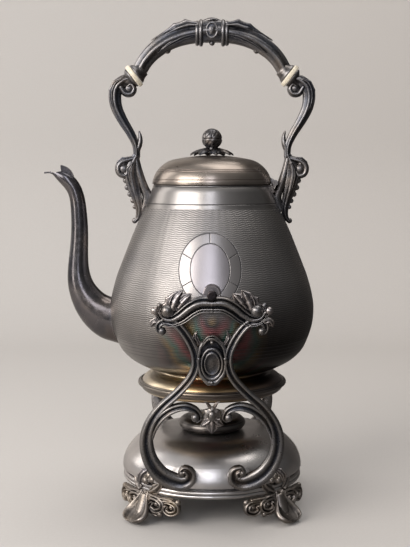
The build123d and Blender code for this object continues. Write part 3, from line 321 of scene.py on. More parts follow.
def plaitedCotton(name, look):  # cotton wick, plaited, its top charred by the flame
    material, tree, shader, place = newMaterial(name)
    axes = addNode(tree, "ShaderNodeSeparateXYZ", {"Vector": place})
    strands = addNode(tree, "ShaderNodeTexWave", {"Vector": place, "Scale": 1000 / look["strandMm"] / 20,
                                                  "Distortion": 2.0}, bands_direction="DIAGONAL")
    burnt = addNode(tree, "ShaderNodeMapRange", [axes.outputs[2], look["charredFrom"], look["charredTo"]])
    colour = addNode(tree, "ShaderNodeMixRGB", [burnt, look["yarn"], look["charred"]])
    relief = addNode(tree, "ShaderNodeBump", {"Height": strands, "Strength": 0.8, "Distance": 0.0003})
    tree.links.new(colour.outputs[0], shader.inputs["Base Color"])
    tree.links.new(relief.outputs[0], shader.inputs["Normal"])
    shader.inputs["Roughness"].default_value = look["roughness"]
    return material


brassLook = dict(castLook, ridge="#B79B62", hollow="#5A4526", blue="#6A5B44", brown="#7A5C33", roughness=0.3,
                 cloudMm=8.0, grainMm=0.8)
frameLook = dict(castLook, ridge="#94918F", hollow="#232326", blue="#474C58")
footLook = dict(castLook, ridge="#ADA59E", hollow="#2A2622", blue="#5C5B5D", brown="#80735F", roughness=0.36)
leafLook = dict(castLook, ridge="#BDB6B3", hollow="#3A3838", blue="#6D6C74", brown="#8A7F78")
spoutLook = dict(castLook, ridge="#858182", hollow="#38373B", blue="#3D404A", brown="#75685E", roughness=0.2,
                 cloudMm=34.0, grainMm=6.0, grainDepth=0.05, speck=0.2)
baseLook = dict(turnedLook, plain="#D2CFCE", smoke="#9A999C", lines=(27.0, 30.4))
lampLook = dict(turnedLook, plain="#6A6663", smoke="#3A383A", lines=(66.4, 70.2))

castMetal = castPlate("castPlateTarnished", castLook)
frameMetal = castPlate("castPlateRubbed", frameLook)
darkMetal = castPlate("castPlateBlack", dict(castLook, ridge="#4A4548", hollow="#1C1A1D", blue="#2A2A33"))
feetMetal = castPlate("castPlateDusty", footLook)
leafMetal = castPlate("castPlateBright", leafLook)
spoutMetal = castPlate("drawnPlateTarnished", spoutLook)
bodyMetal = engineTurnedPlate("engineTurnedPlate", bodyLook)
lidMetal = turnedPlate("turnedPlateLid", turnedLook)
baseMetal = turnedPlate("turnedPlateBase", baseLook)
lampMetal = turnedPlate("turnedPlateLamp", lampLook)
footMetal = heatTintedPlate("heatTintedPlate", tintedLook)
boneStuff = turnedBone("turnedBone", boneLook)
brassMetal = castPlate("turnedBrass", brassLook)
wickStuff = plaitedCotton("plaitedCotton", wickLook)
print("finishes made")

finishOf = {"kettle_body": bodyMetal, "kettle_foot": footMetal, "spout": spoutMetal, "lid_dome": lidMetal,
            "lid_bezel": lidMetal, "base_dome": baseMetal, "base_rim": baseMetal, "lamp_reservoir": lampMetal,
            "burner_collar": brassMetal, "wick_tube": brassMetal, "wick": wickStuff, "insulator_left": boneStuff,
            "insulator_right": boneStuff, "trunnion_front": bodyMetal, "trunnion_rear": bodyMetal,
            "trunnion_heads": darkMetal}
for name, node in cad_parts.items():
    stuff = finishOf.get(name, castMetal)
    if not node.material_slots:
        node.data.materials.append(stuff)
    for slot in node.material_slots:
        slot.material = stuff


# shape tools: every form is a list of points in metres and a list of faces

def newForm():
    return {"points": [], "faces": []}


def bothHalves(left, middle=()):  # a line and its mirror image
    return left + list(middle) + [(-point[0],) + point[1:] for point in reversed(left)]


def uprightPlace(side=1, face=1):  # x to the side, z up, out to the front or back
    return lambda x, z, out: (side * x * mm, face * out * mm, z * mm)


def smoothLine(points, count):  # even steps along a smooth line through the points
    ends = [[2 * a - b for a, b in zip(points[0], points[1])]] + [list(p) for p in points]
    ends += [[2 * a - b for a, b in zip(points[-1], points[-2])]]
    fine = []
    for i in range(1, len(ends) - 2):
        for k in range(12):
            t = k / 12
            fine.append([0.5 * (2 * b + (c - a) * t + (2 * a - 5 * b + 4 * c - d) * t ** 2
                                + (3 * b - a - 3 * c + d) * t ** 3)
                         for a, b, c, d in zip(ends[i - 1], ends[i], ends[i + 1], ends[i + 2])])
    fine.append(list(points[-1]))
    reach = [0.0]
    for a, b in zip(fine, fine[1:]):
        reach.append(reach[-1] + math.dist(a, b))
    line = []
    spot = 0
    for k in range(count + 1):
        goal = reach[-1] * k / count
        while spot < len(reach) - 2 and reach[spot + 1] < goal:
            spot += 1
        share = (goal - reach[spot]) / max(reach[spot + 1] - reach[spot], 1e-9)
        line.append([a + (b - a) * share for a, b in zip(fine[spot], fine[spot + 1])])
    return line


def normalAt(line, k):  # the direction across a line at its step k
    before, after = line[max(k - 1, 0)], line[min(k + 1, len(line) - 1)]
    dx, dz = after[0] - before[0], after[1] - before[1]
    size = math.hypot(dx, dz) or 1.0
    return -dz / size, dx / size


def atShare(values, share):  # a value from a list of even steps, blended smoothly
    place = share * (len(values) - 1)
    index = min(int(place), len(values) - 2)
    t = place - index
    t = t * t * (3 - 2 * t)
    return values[index] * (1 - t) + values[index + 1] * t


def fullTurn(count):
    return [2 * math.pi * j / count for j in range(count)]


def addRings(form, rings, capped=True):  # skin over rings of equal length
    start = len(form["points"])
    size = len(rings[0])
    for ring in rings:
        form["points"].extend(ring)
    for i in range(len(rings) - 1):
        for j in range(size):
            a = start + i * size + j
            b = start + i * size + (j + 1) % size
            form["faces"].append((a, b, b + size, a + size))
    if capped:
        form["faces"].append(tuple(start + j for j in reversed(range(size))))
        form["faces"].append(tuple(start + (len(rings) - 1) * size + j for j in range(size)))


ridgedStrip = bothHalves([(-1.0, 0.2), (-0.95, 0.55), (-0.75, 0.9), (-0.5, 1.0), (-0.3, 0.86), (-0.12, 0.66)])
ridgedStrip += [(0.85, 0.0), (-0.85, 0.0)]
roundBar = [(math.cos(k * math.pi / 9), math.sin(k * math.pi / 9)) for k in range(18)]
flutedBar = [(math.cos(a) * (1 - 0.1 * math.cos(6 * a)), math.sin(a) * (1 - 0.1 * math.cos(6 * a)))
             for a in [k * math.pi / 18 for k in range(36)]]
leafStrip = bothHalves([(-1.0, 0.15), (-0.8, 0.45), (-0.55, 0.3), (-0.3, 0.55), (-0.12, 0.95)], [(0.0, 1.0)])
leafStrip += [(0.6, 0.0), (-0.6, 0.0)]


def addBar(form, place, points, depths, section, count, lift=(0.0, 0.0)):
    # a bar of one section along a line of (x, z, width); place turns (x, z, out) into metres
    line = smoothLine(points, count)
    rings = []
    for k, (x, z, width) in enumerate(line):
        nx, nz = normalAt(line, k)
        share = k / count
        half = width / 2
        deep = atShare(depths, share)
        up = lift[0] + (lift[1] - lift[0]) * share
        rings.append([place(x + nx * u * half, z + nz * u * half, up + v * deep) for u, v in section])
    addRings(form, rings)


def addLeaf(form, place, points, width, depth, lobes, lift, count=40):
    # a lobed leaf with a midrib, widest below its middle and pointed at its tip
    line = []
    for k, (x, z) in enumerate(smoothLine(points, count)):
        s = k / count
        body = math.sin(math.pi * min(1.0, 0.12 + 0.88 * s) ** 0.8)
        inLobe = s * lobes % 1.0
        edge = 1 - 0.34 * (1 - inLobe) * inLobe * 4 * (1 - s)
        line.append((x, z, max(0.5, width * body * edge)))
    addBar(form, place, line, [depth, depth, 0.75 * depth, 0.4 * depth], leafStrip, count, lift)


def addBall(form, place, x, z, out, radius, squashOut=1.0, steps=12):
    rings = []
    for i in range(1, steps):
        a = math.pi * i / steps
        rings.append([place(x + radius * math.sin(a) * math.cos(b), z + radius * math.sin(a) * math.sin(b),
                            out + squashOut * radius * math.cos(a)) for b in fullTurn(2 * steps)])
    addRings(form, rings)


def addOval(form, place, x, z, halfX, halfZ, profile, lobes=0, lobeSize=0.0):
    # stacked oval mouldings: profile is (share of the half size, height out)
    rings = []
    for share, out in profile:
        ring = []
        for a in fullTurn(56):
            swell = 1 + lobeSize * math.cos(lobes * a) * share
            ring.append(place(x + halfX * share * swell * math.cos(a), z + halfZ * share * swell * math.sin(a), out))
        rings.append(ring)
    addRings(form, rings)


def mirrored(form):  # the same form on the other side of the middle plane
    both = {"points": list(form["points"]), "faces": list(form["faces"])}
    start = len(both["points"])
    both["points"].extend((-x, y, z) for x, y, z in form["points"])
    both["faces"].extend(tuple(start + i for i in reversed(face)) for face in form["faces"])
    return both


def finishForm(name, form, stuff, body):  # forms to one object with outward faces
    mesh = bpy.data.meshes.new(name)
    mesh.from_pydata(form["points"], [], form["faces"])
    work = bmesh.new()
    work.from_mesh(mesh)
    bmesh.ops.recalc_face_normals(work, faces=work.faces)
    work.to_mesh(mesh)
    work.free()
    for face in mesh.polygons:
        face.use_smooth = True
    mesh.materials.append(stuff)
    piece = linkObject(name, mesh)
    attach(piece, body)
    return piece


# kettle body: half sections of (radius, height), turned about the axis

kettle = {
    "neck": [(49.6, 274.3), (50.1, 274.0), (52.4, 267.5), (54.7, 260.8), (56.7, 255.0)],
    "skin": [(56.8, 254.6), (61.6, 245.4), (66.4, 235.3), (71.9, 221.8), (77.1, 208.4), (81.3, 197.4),
             (84.9, 185.0), (86.9, 174.6), (87.3, 167.7), (86.7, 158.5), (84.8, 150.0), (81.1, 140.0),
             (77.4, 133.3), (71.4, 127.2), (64.7, 122.8), (56.0, 118.6), (46.0, 115.5)],
    "floor": [(20.0, 115.3), (1.0, 115.3)], "floorInside": [(20.0, 119.5), (1.0, 119.5)], "wall": 1.2,
    "around": 168, "steps": 110, "stepsInside": 60, "stepsSpared": 8,
    "foot": [(43.2, 115.2), (44.8, 115.2), (45.4, 113.6), (47.6, 112.5), (50.8, 112.6), (54.2, 111.8),
             (57.2, 110.2), (59.4, 107.9), (60.5, 105.8), (61.1, 106.7), (62.0, 106.7), (62.5, 105.7),
             (63.4, 105.8), (64.0, 104.5), (63.6, 103.2), (62.2, 102.6), (61.4, 101.8), (60.3, 99.6),
             (58.0, 97.8), (56.0, 97.3), (54.9, 99.6), (55.6, 103.6), (50.4, 106.8), (45.0, 109.6),
             (43.2, 112.0)],
    "footSteps": 120}


def turnedPoint(radius, z, turn):
    return (radius * math.cos(turn) * mm, radius * math.sin(turn) * mm, z * mm)


def makeBody():
    turns = fullTurn(kettle["around"])
    outer = kettle["neck"] + smoothLine(kettle["skin"], kettle["steps"]) + kettle["floor"]
    skinInside = smoothLine(kettle["skin"], kettle["stepsInside"])[:-kettle["stepsSpared"]]
    inner = [(r - kettle["wall"], z) for r, z in kettle["neck"] + skinInside] + kettle["floorInside"]
    form = newForm()
    addRings(form, [[turnedPoint(r, z, a) for a in turns] for r, z in outer[::-1] + inner])
    piece = finishForm("kettleBody", form, bodyMetal, "kettle")
    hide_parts("kettle_body")
    # the foot is one closed band of reeds and hollows, open in the middle
    form = newForm()
    line = smoothLine(kettle["foot"] + kettle["foot"][:1], kettle["footSteps"])[:-1]
    addRings(form, [[turnedPoint(r, z, a) for r, z in line] for a in turns], capped=False)
    size = len(line)
    last = (len(turns) - 1) * size
    form["faces"] += [(last + j, last + (j + 1) % size, (j + 1) % size, j) for j in range(size)]
    piece = finishForm("kettleFoot", form, footMetal, "kettle")
    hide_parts("kettle_foot")


makeBody()
print("kettle body made")

# lyre frames: lines of (x, z, width) in the frame's own leaning plane

crestStrip = [(-1.0, 0.0), (-0.98, 0.62), (-0.9, 0.84), (-0.8, 0.7), (-0.74, 0.52), (-0.66, 0.74), (-0.56, 0.84),
              (-0.46, 0.62), (-0.4, 0.34), (-0.28, 0.34), (-0.16, 0.72), (0.06, 0.96), (0.3, 1.0), (0.5, 0.84),
              (0.62, 0.5), (0.72, 0.5), (0.82, 0.86), (0.92, 0.86), (0.99, 0.55), (1.0, 0.0)]
lyre = {
    "lean": 5.5, "footReach": 72.0, "back": 0.3, "depth": 4.9,
    "strut": [(37.6, 159.4, 3.0), (41.0, 161.4, 4.4), (41.6, 166.0, 5.6), (37.4, 169.2, 6.2), (30.6, 168.6, 6.8),
              (24.0, 163.6, 7.2), (16.6, 152.6, 7.4), (12.6, 141.0, 7.4), (13.6, 130.5, 7.4),
              (18.8, 121.0, 7.4), (28.4, 110.6, 7.6), (39.6, 100.2, 8.2), (47.2, 89.8, 9.0), (51.2, 79.0, 10.2),
              (51.6, 68.0, 11.4), (48.4, 56.4, 12.6), (41.6, 46.4, 14.0), (32.6, 40.4, 14.6),
              (23.8, 38.4, 13.2), (18.0, 41.4, 11.2), (17.6, 47.4, 8.8), (22.2, 50.0, 6.4), (25.6, 46.4, 4.0)],
    "crest": [(-1.0, 182.6, 12.2), (8.8, 182.4, 12.6), (16.6, 178.6, 12.2), (24.0, 172.8, 11.2),
              (30.8, 169.8, 9.4), (37.2, 171.0, 7.2), (41.0, 175.6, 5.2), (39.8, 180.6, 3.6)],
    "arch": [(50.0, 70.0, 5.0), (46.6, 82.0, 6.6), (40.6, 91.6, 7.2), (31.4, 98.6, 7.4), (21.4, 101.0, 7.0),
             (12.8, 98.0, 5.8), (9.6, 92.0, 4.2), (12.6, 89.0, 2.8)],
    # depth shares and steps of the three bars; balls as (x, z, radius)
    "bars": {"strut": ([0.8, 1.0, 1.0, 1.0, 1.05, 1.2], ridgedStrip, 140),
             "crest": ([1.35, 1.3, 1.15, 0.9], crestStrip, 80),
             "arch": ([0.7, 1.05, 1.1, 0.9], ridgedStrip, 60)},
    "balls": [(38.6, 161.8, 3.2), (34.6, 177.6, 5.2), (13.0, 92.4, 3.4), (24.0, 46.6, 3.0), (40.6, 182.0, 2.2)],
    # cartouche, its plaque, the bead between the inner scrolls and the disc behind it:
    # (x, z, half width, half height, profile, lobes, size of a lobe)
    "ovals": [(0.0, 138.3, 12.4, 20.4,
               [(0.9, 0.3), (1.0, 1.2), (1.0, 3.0), (0.95, 4.6), (0.88, 5.2), (0.81, 4.8), (0.77, 3.4),
                (0.7, 2.6), (0.3, 2.4)], 10, 0.02),
              (0.0, 135.8, 9.0, 13.4,
               [(0.9, 1.2), (1.0, 2.4), (1.0, 4.2), (0.94, 5.2), (0.87, 5.3), (0.8, 4.4), (0.75, 3.4),
                (0.71, 3.4), (0.67, 4.6), (0.61, 4.8), (0.56, 4.2), (0.3, 4.5), (0.02, 4.6)]),
              (0.0, 93.6, 3.4, 4.6, [(0.8, 1.0), (1.0, 3.0), (0.9, 5.0), (0.5, 6.2), (0.02, 6.4)]),
              (0.0, 91.5, 8.0, 9.0, [(0.9, 0.3), (1.0, 1.0), (0.9, 2.4), (0.3, 2.8)], 8, 0.06)],
    "brow": [(-7.4, 151.0, 2.4), (-4.2, 156.0, 3.2), (0.0, 157.6, 3.6), (4.2, 156.0, 3.2), (7.4, 151.0, 2.4)],
    "browDepths": [5.6, 6.4, 5.6],
    "studs": [(0.0, 121.0, 1.7), (-10.2, 140.0, 1.4), (10.2, 140.0, 1.4), (0.0, 153.0, 1.6)], "studOut": 4.6,
    # leaves as (line, width, depth, lobes, lift at the root and at the tip)
    "leaves": [([(32.4, 174.0), (29.6, 182.0), (26.4, 188.6), (22.6, 194.0)], 19.0, 4.6, 4, (0.3, 2.4)),
               ([(26.4, 180.0), (20.8, 186.6), (15.6, 191.4)], 13.0, 4.2, 3, (1.0, 2.6)),
               ([(33.0, 180.0), (32.6, 185.0), (30.0, 190.6)], 7.0, 3.4, 3, (1.0, 2.6)),
               ([(38.0, 174.6), (42.8, 177.6), (46.2, 180.0)], 9.6, 3.4, 4, (1.2, 2.6)),
               ([(40.6, 168.4), (45.0, 168.6), (47.4, 164.6)], 8.0, 2.8, 3, (1.4, 1.4)),
               ([(9.6, 150.6), (13.0, 156.4), (11.4, 161.8)], 5.0, 2.4, 2, (1.0, 1.4)),
               ([(1.6, 90.4), (5.4, 87.4), (9.2, 86.0)], 8.4, 3.2, 3, (2.0, 2.4)),
               ([(1.0, 99.0), (3.4, 103.4), (6.0, 105.4)], 3.4, 2.0, 3, (1.6, 2.8)),
               ([(50.6, 50.0), (56.4, 44.6), (57.6, 36.0)], 6.4, 2.4, 4, (0.2, 0.4))],
    "berry": (44.2, 178.0, 3.8, 3.2),
    "middleLeaf": ([(0.0, 92.0), (0.0, 86.0), (0.0, 79.0)], 13.0, 3.4, 3, (2.0, 2.6))}


def framePlace(side):
    lean = math.radians(lyre["lean"])

    def place(x, z, out):
        reach = lyre["footReach"] + math.tan(lean) * z + math.cos(lean) * out
        return (x * mm, side * reach * mm, (z - math.sin(lean) * out) * mm)
    return place


def makeFrame(side, name, node):
    place = framePlace(side)
    back, depth = lyre["back"], lyre["depth"]
    half = newForm()
    for line, (shares, section, steps) in lyre["bars"].items():
        addBar(half, place, lyre[line], [share * depth for share in shares], section, steps, (back, back))
    for x, z, radius in lyre["balls"]:
        addBall(half, place, x, z, back + 0.6 * depth, radius)
    form = mirrored(half)
    for oval in lyre["ovals"]:
        addOval(form, place, *oval)
    addBar(form, place, lyre["brow"], lyre["browDepths"], ridgedStrip, 30, (back, back))
    for x, z, radius in lyre["studs"]:
        addBall(form, place, x, z, lyre["studOut"], radius, steps=8)
    piece = finishForm(name, form, frameMetal, "stand")
    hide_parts(node)
    # cast leaves on the crest, beside the cartouche and round the bead
    half = newForm()
    for leaf in lyre["leaves"]:
        addLeaf(half, place, *leaf)
    addBall(half, place, *lyre["berry"], steps=9)
    form = mirrored(half)
    addLeaf(form, place, *lyre["middleLeaf"])
    finishForm(name + "Leaves", form, leafMetal, "stand")


makeFrame(-1, "lyreFront", "frame_front")
makeFrame(1, "lyreRear", "frame_rear")
print("lyre frames made")

# feet

foot = {
    "rimRadius": 76.2, "azimuths": {"front_left": 225, "front_right": 315, "rear_right": 45, "rear_left": 135},
    "tongue": [(75.4, 24.0, 9.0), (77.6, 19.4, 11.0), (80.0, 15.2, 17.0), (83.2, 10.8, 23.4),
               (86.6, 7.4, 26.0), (90.0, 5.2, 24.6), (92.4, 3.8, 19.4), (93.8, 3.0, 10.0)],
    "thick": [3.0, 3.2, 3.4, 3.6, 3.6, 3.4, 2.6, 1.6], "steps": 44, "heel": (85.0, 4.2, 0.0, 4.0),
    "spine": [(76.6, 22.0, 9.0), (79.4, 12.0, 11.0), (83.6, 6.4, 9.0), (87.6, 4.6, 6.0)],
    "spineDepths": [5.0, 6.0, 5.0],
    # openwork scrolls that hang under the rim on each side, each with its depth, and the knops in them
    "scrolls": [([(2, 21.4, 5.0), (8, 22.0, 4.4), (15, 21.4, 4.0), (22, 21.6, 3.8), (29, 21.8, 3.0)], 4.4),
                ([(6.0, 21.0, 4.2), (13.0, 21.4, 5.2), (19.0, 18.4, 5.2), (18.4, 13.4, 5.0), (12.4, 11.4, 4.8),
                  (8.0, 14.4, 4.2), (10.4, 17.6, 3.4)], 5.2),
                ([(18.6, 19.4, 4.0), (25.2, 20.4, 5.0), (31.2, 18.2, 5.2), (31.8, 13.4, 5.0),
                  (26.4, 11.2, 4.8), (22.2, 13.6, 4.2), (24.0, 16.8, 3.2)], 5.0),
                ([(5.0, 22.0, 5.0), (4.4, 16.4, 4.8), (8.6, 10.6, 4.4), (15.4, 8.8, 3.4)], 4.8)],
    "scrollLift": (-1.6, 0.2), "knopOut": 1.8,
    "knops": [(16.4, 9.0, 2.5), (13.0, 16.4, 1.9), (27.0, 16.0, 1.9), (21.0, 15.6, 2.4), (32.6, 20.6, 2.4)],
    "leaf": [(6, 25), (11, 28), (14.4, 32), (13.4, 36.6)],
    # the lumpy leaf that lies on the base above the rim: (x, z, out, radius)
    "lumps": [(-7.4, 34.0, -0.4, 2.9), (-3.0, 36.8, -1.4, 3.4), (2.6, 37.2, -1.5, 3.2), (7.2, 34.6, -0.6, 3.0),
              (0.0, 33.0, 0.0, 3.4)]}
shieldStrip = bothHalves([(-1.0, 0.1), (-0.97, 0.7), (-0.88, 1.0), (-0.76, 0.9), (-0.66, 0.55), (-0.5, 0.34),
                          (-0.34, 0.42), (-0.2, 0.26)], [(0.0, 0.36)])
shieldStrip += [(0.8, -0.35), (0.3, -0.55), (-0.3, -0.55), (-0.8, -0.35)]


def footPlaces(azimuth):
    turn = math.radians(azimuth)

    def alongRim(x, z, out):  # x runs along the rim, out away from the axis
        a = turn + x / foot["rimRadius"]
        r = foot["rimRadius"] + out
        return (r * math.cos(a) * mm, r * math.sin(a) * mm, z * mm)

    def fromAxis(x, z, out):  # x runs away from the axis, out along the rim
        return ((x * math.cos(turn) - out * math.sin(turn)) * mm, (x * math.sin(turn) + out * math.cos(turn)) * mm,
                z * mm)
    return alongRim, fromAxis


def makeFoot(corner, azimuth):
    alongRim, fromAxis = footPlaces(azimuth)
    form = newForm()
    # the shell leg: a shield with raised edges that leans out from the rim and curls under on its pad
    steps = foot["steps"]
    line = smoothLine(foot["tongue"], steps)
    rings = []
    for k, (x, z, width) in enumerate(line):
        nx, nz = normalAt(line, k)
        thick = atShare(foot["thick"], k / steps)
        rings.append([fromAxis(x + nx * v * thick, max(z + nz * v * thick, 0.0), u * width / 2)
                      for u, v in shieldStrip])
    addRings(form, rings)
    addBall(form, fromAxis, *foot["heel"])
    addBar(form, fromAxis, foot["spine"], foot["spineDepths"], roundBar, 24)
    for side in (-1, 1):
        for path, deep in foot["scrolls"]:
            addBar(form, alongRim, [(side * x, z, w) for x, z, w in path], [deep, 1.15 * deep, deep], ridgedStrip,
                   36, foot["scrollLift"])
        for x, z, radius in foot["knops"]:
            addBall(form, alongRim, side * x, z, foot["knopOut"], radius, steps=8)
        addLeaf(form, alongRim, [(side * x, z) for x, z in foot["leaf"]], 10.4, 3.0, 3, (0.2, -1.4), 28)
    for lump in foot["lumps"]:
        addBall(form, alongRim, *lump, steps=9)
    piece = finishForm("foot" + corner.title().replace("_", ""), form, feetMetal, "stand")
    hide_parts("foot_" + corner)


for corner, azimuth in foot["azimuths"].items():
    makeFoot(corner, azimuth)
print("feet made")

# handle: lines of (x, z, width) in the plane of the arms

handle = {  # bars as (line, depths, section, steps): leg, bracket, web, scroll, thorn, scroll of the rosette
    "bars": [([(69.0, 364.6, 8.0), (75.6, 362.4, 9.6), (81.4, 356.6, 10.8), (83.0, 348.4, 10.6),
               (81.2, 338.6, 9.6), (76.0, 328.0, 8.4), (69.6, 317.4, 7.2), (65.2, 307.4, 6.2), (64.4, 297.4, 5.6)],
              [5.6, 6.0, 5.6, 5.0, 4.6, 4.2, 4.0], flutedBar, 90),
             ([(64.4, 299.6, 6.0), (67.6, 292.0, 9.4), (69.2, 283.0, 11.6), (67.4, 272.6, 11.4),
               (64.6, 262.6, 8.6), (62.6, 253.4, 6.4), (63.4, 246.0, 4.8), (66.6, 241.8, 3.0)],
              [4.4, 5.0, 4.8, 4.0, 3.0], flutedBar, 70),
             ([(65.0, 297.0, 5.0), (63.4, 287.6, 6.4), (61.0, 279.0, 7.0), (58.4, 271.4, 7.6),
               (55.6, 264.0, 8.6), (56.6, 257.0, 8.0), (60.0, 251.0, 5.0)], [3.8, 3.6, 3.2, 2.6], roundBar, 30),
             ([(78.0, 357.4, 5.6), (74.0, 351.6, 5.4), (68.8, 351.4, 5.0), (66.4, 355.6, 4.4), (69.0, 359.2, 3.6),
               (72.2, 357.2, 2.6)], [5.8, 5.6, 5.0], roundBar, 40),
             ([(64.4, 302.6, 5.0), (62.0, 308.6, 4.6), (61.4, 314.4, 3.4), (62.6, 319.8, 1.4)],
              [3.6, 3.2, 2.4, 1.2], roundBar, 26),
             ([(65.0, 297.0, 4.4), (70.0, 295.6, 5.0), (76.4, 293.6, 6.2), (80.2, 289.0, 6.0), (79.2, 283.4, 5.6),
               (74.4, 281.6, 5.0), (72.0, 285.0, 4.0)], [4.6, 5.4, 5.8, 5.0], roundBar, 60)],
    "balls": [(70.8, 355.6, 0.0, 4.6), (75.4, 287.0, 0.0, 5.4)],
    "rosette": (76.2, 287.0), "rosettePetals": 5, "rosetteStart": 0.4, "rosetteReach": 4.6,
    "serrations": [(74.0, 277.4, 2.6), (72.6, 271.4, 2.5), (70.4, 265.6, 2.4), (68.0, 260.0, 2.2),
                   (66.4, 254.6, 1.9), (66.6, 242.8, 2.4)],
    "leaves": [([(76.4, 363.2), (82.0, 360.0), (85.0, 352.6), (84.6, 343.6), (81.0, 334.6)], 6.8, 3.0, 5, (4.0, 3.4)),
               ([(67.6, 293.0), (70.8, 284.0), (69.0, 273.0), (65.4, 263.0)], 7.4, 2.6, 5, (4.2, 2.6)),
               ([(71.6, 296.6), (77.6, 294.4), (81.2, 289.0), (79.6, 284.0)], 5.0, 2.6, 4, (3.2, 2.6))],
    # cups on both sides of the bone ring as (radius, distance towards the grip)
    "ringCup": [(8.6, -2.15), (8.9, -2.9), (8.2, -4.0), (6.6, -5.2), (5.0, -7.4), (4.4, -10.0)],
    "gripCup": [(8.8, 2.15), (9.0, 3.0), (8.4, 4.2), (7.4, 5.4), (6.6, 7.6), (6.2, 10.0)],
    "ring": (66.6, 366.6), "tilt": 37.6}


def addRingCup(form, side, profile):  # turned cup about the bone ring's axis
    tilt = math.radians(handle["tilt"])
    x, z = handle["ring"]
    rings = []
    for radius, along in profile:
        rings.append([(side * (x - along * math.cos(tilt) + radius * math.cos(a) * math.sin(tilt)) * mm,
                       radius * math.sin(a) * mm,
                       (z + along * math.sin(tilt) + radius * math.cos(a) * math.cos(tilt)) * mm)
                      for a in fullTurn(36)])
    addRings(form, rings)


def makeArm(side, name, node):
    place = uprightPlace(side)
    form = newForm()
    for bar in handle["bars"]:
        addBar(form, place, *bar)
    for ball in handle["balls"]:
        addBall(form, place, *ball)
    addRingCup(form, side, handle["ringCup"])
    x, z = handle["rosette"]
    for turn in fullTurn(handle["rosettePetals"]):
        a = handle["rosetteStart"] + turn
        addBall(form, place, x + handle["rosetteReach"] * math.cos(a), z + handle["rosetteReach"] * math.sin(a),
                0.0, 2.7, 1.7, 8)
    for x, z, radius in handle["serrations"]:
        addBall(form, place, x, z, 0.0, radius, 0.9, 8)
    piece = finishForm(name, form, castMetal, "kettle")
    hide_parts(node)
    leaves = newForm()
    for face in (-1, 1):
        for leaf in handle["leaves"]:
            addLeaf(leaves, uprightPlace(side, face), *leaf)
    finishForm(name + "Leaves", leaves, castMetal, "kettle")


makeArm(-1, "armLeft", "handle_arm_left")
makeArm(1, "armRight", "handle_arm_right")

grip = {
    "line": bothHalves([(-64.6, 368.4, 11.6), (-61.0, 372.8, 12.6), (-56.4, 380.2, 13.2), (-48.6, 388.4, 14.2),
                        (-36.0, 396.6, 15.2), (-20.0, 402.0, 16.6)], [(0.0, 404.4, 18.6)]),
    "depths": [5.6, 6.2, 6.6, 7.2, 7.8, 8.8, 7.8, 7.2, 6.6, 6.2, 5.6],
    # collars as (distance from the middle, radius)
    "collars": [(9.4, 11.0), (1.34 * 9.4, 10.2)], "collarHeight": 404.0,
    "collarProfile": [(-1.9, 0.8), (-1.6, 0.96), (-0.6, 1.04), (0.6, 1.04), (1.6, 0.96), (1.9, 0.8)],
    "boss": (0.0, 404.4, 5.4, 7.4, [(0.9, 7.4), (1.0, 8.6), (0.9, 9.6), (0.76, 9.2), (0.66, 8.8), (0.4, 9.8),
                                    (0.02, 10.1)]),
    "knops": [(-38.0, 388.2, 2.8), (38.0, 388.2, 2.8), (0.0, 394.6, 2.4)],
    "crown": ([(-8.4, 412.4, 2.4), (0.0, 413.8, 4.6), (8.4, 412.4, 2.4)], [4.0, 6.4, 4.0], roundBar, 24),
    "leaves": [([(12.0, 408.6), (21.0, 408.6), (31.0, 405.4), (41.0, 400.6), (48.6, 398.8)], 12.0, 3.6, 4,
                (5.6, 1.2)),
               ([(13.0, 401.0), (24.0, 398.6), (36.0, 392.6), (46.0, 385.4)], 5.4, 2.4, 5, (7.0, 5.4))],
    "topLeaf": ([(10.6, 0.0), (22.0, 0.0), (34.0, 0.0), (46.0, 0.0), (51.6, 0.0)], 15.0, 3.2, 4, (6.6, 10.8)),
    "top": 404.5, "topCurve": 0.0072}


def makeGrip():
    place = uprightPlace()
    form = newForm()
    addBar(form, place, grip["line"], grip["depths"], flutedBar, 130)
    for side in (-1, 1):
        for x, radius in grip["collars"]:
            z = grip["collarHeight"] - 0.1 * x
            addRings(form, [[place(side * x + dx, z + radius * share * math.sin(a),
                                   radius * share * 0.94 * math.cos(a)) for a in fullTurn(40)]
                            for dx, share in grip["collarProfile"]])
        addRingCup(form, side, handle["gripCup"])
        addOval(form, uprightPlace(1, side), *grip["boss"])
    for x, z, size in grip["knops"]:
        addBall(form, place, x, z, 0.0, size, steps=10)
    addBar(form, place, *grip["crown"])
    piece = finishForm("gripBar", form, castMetal, "kettle")
    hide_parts("grip_front", "grip_rear")
    leaves = newForm()
    for side in (-1, 1):
        for face in (-1, 1):
            for leaf in grip["leaves"]:
                addLeaf(leaves, uprightPlace(side, face), *leaf)

        def onTop(x, z, out, side=side):
            return (side * x * mm, z * mm, (grip["top"] + out - grip["topCurve"] * x * x) * mm)
        addLeaf(leaves, onTop, *grip["topLeaf"])
    finishForm("gripLeaves", leaves, castMetal, "kettle")


makeGrip()
print("handle made")

# finial: a ring of leaves made with geometry nodes, and the engraved bud

petalLook = {"count": 8, "length": 15.6, "width": 12.4, "rise": 3.8, "droop": 5.4, "start": 3.2, "base": 299.6,
             "steps": 14}


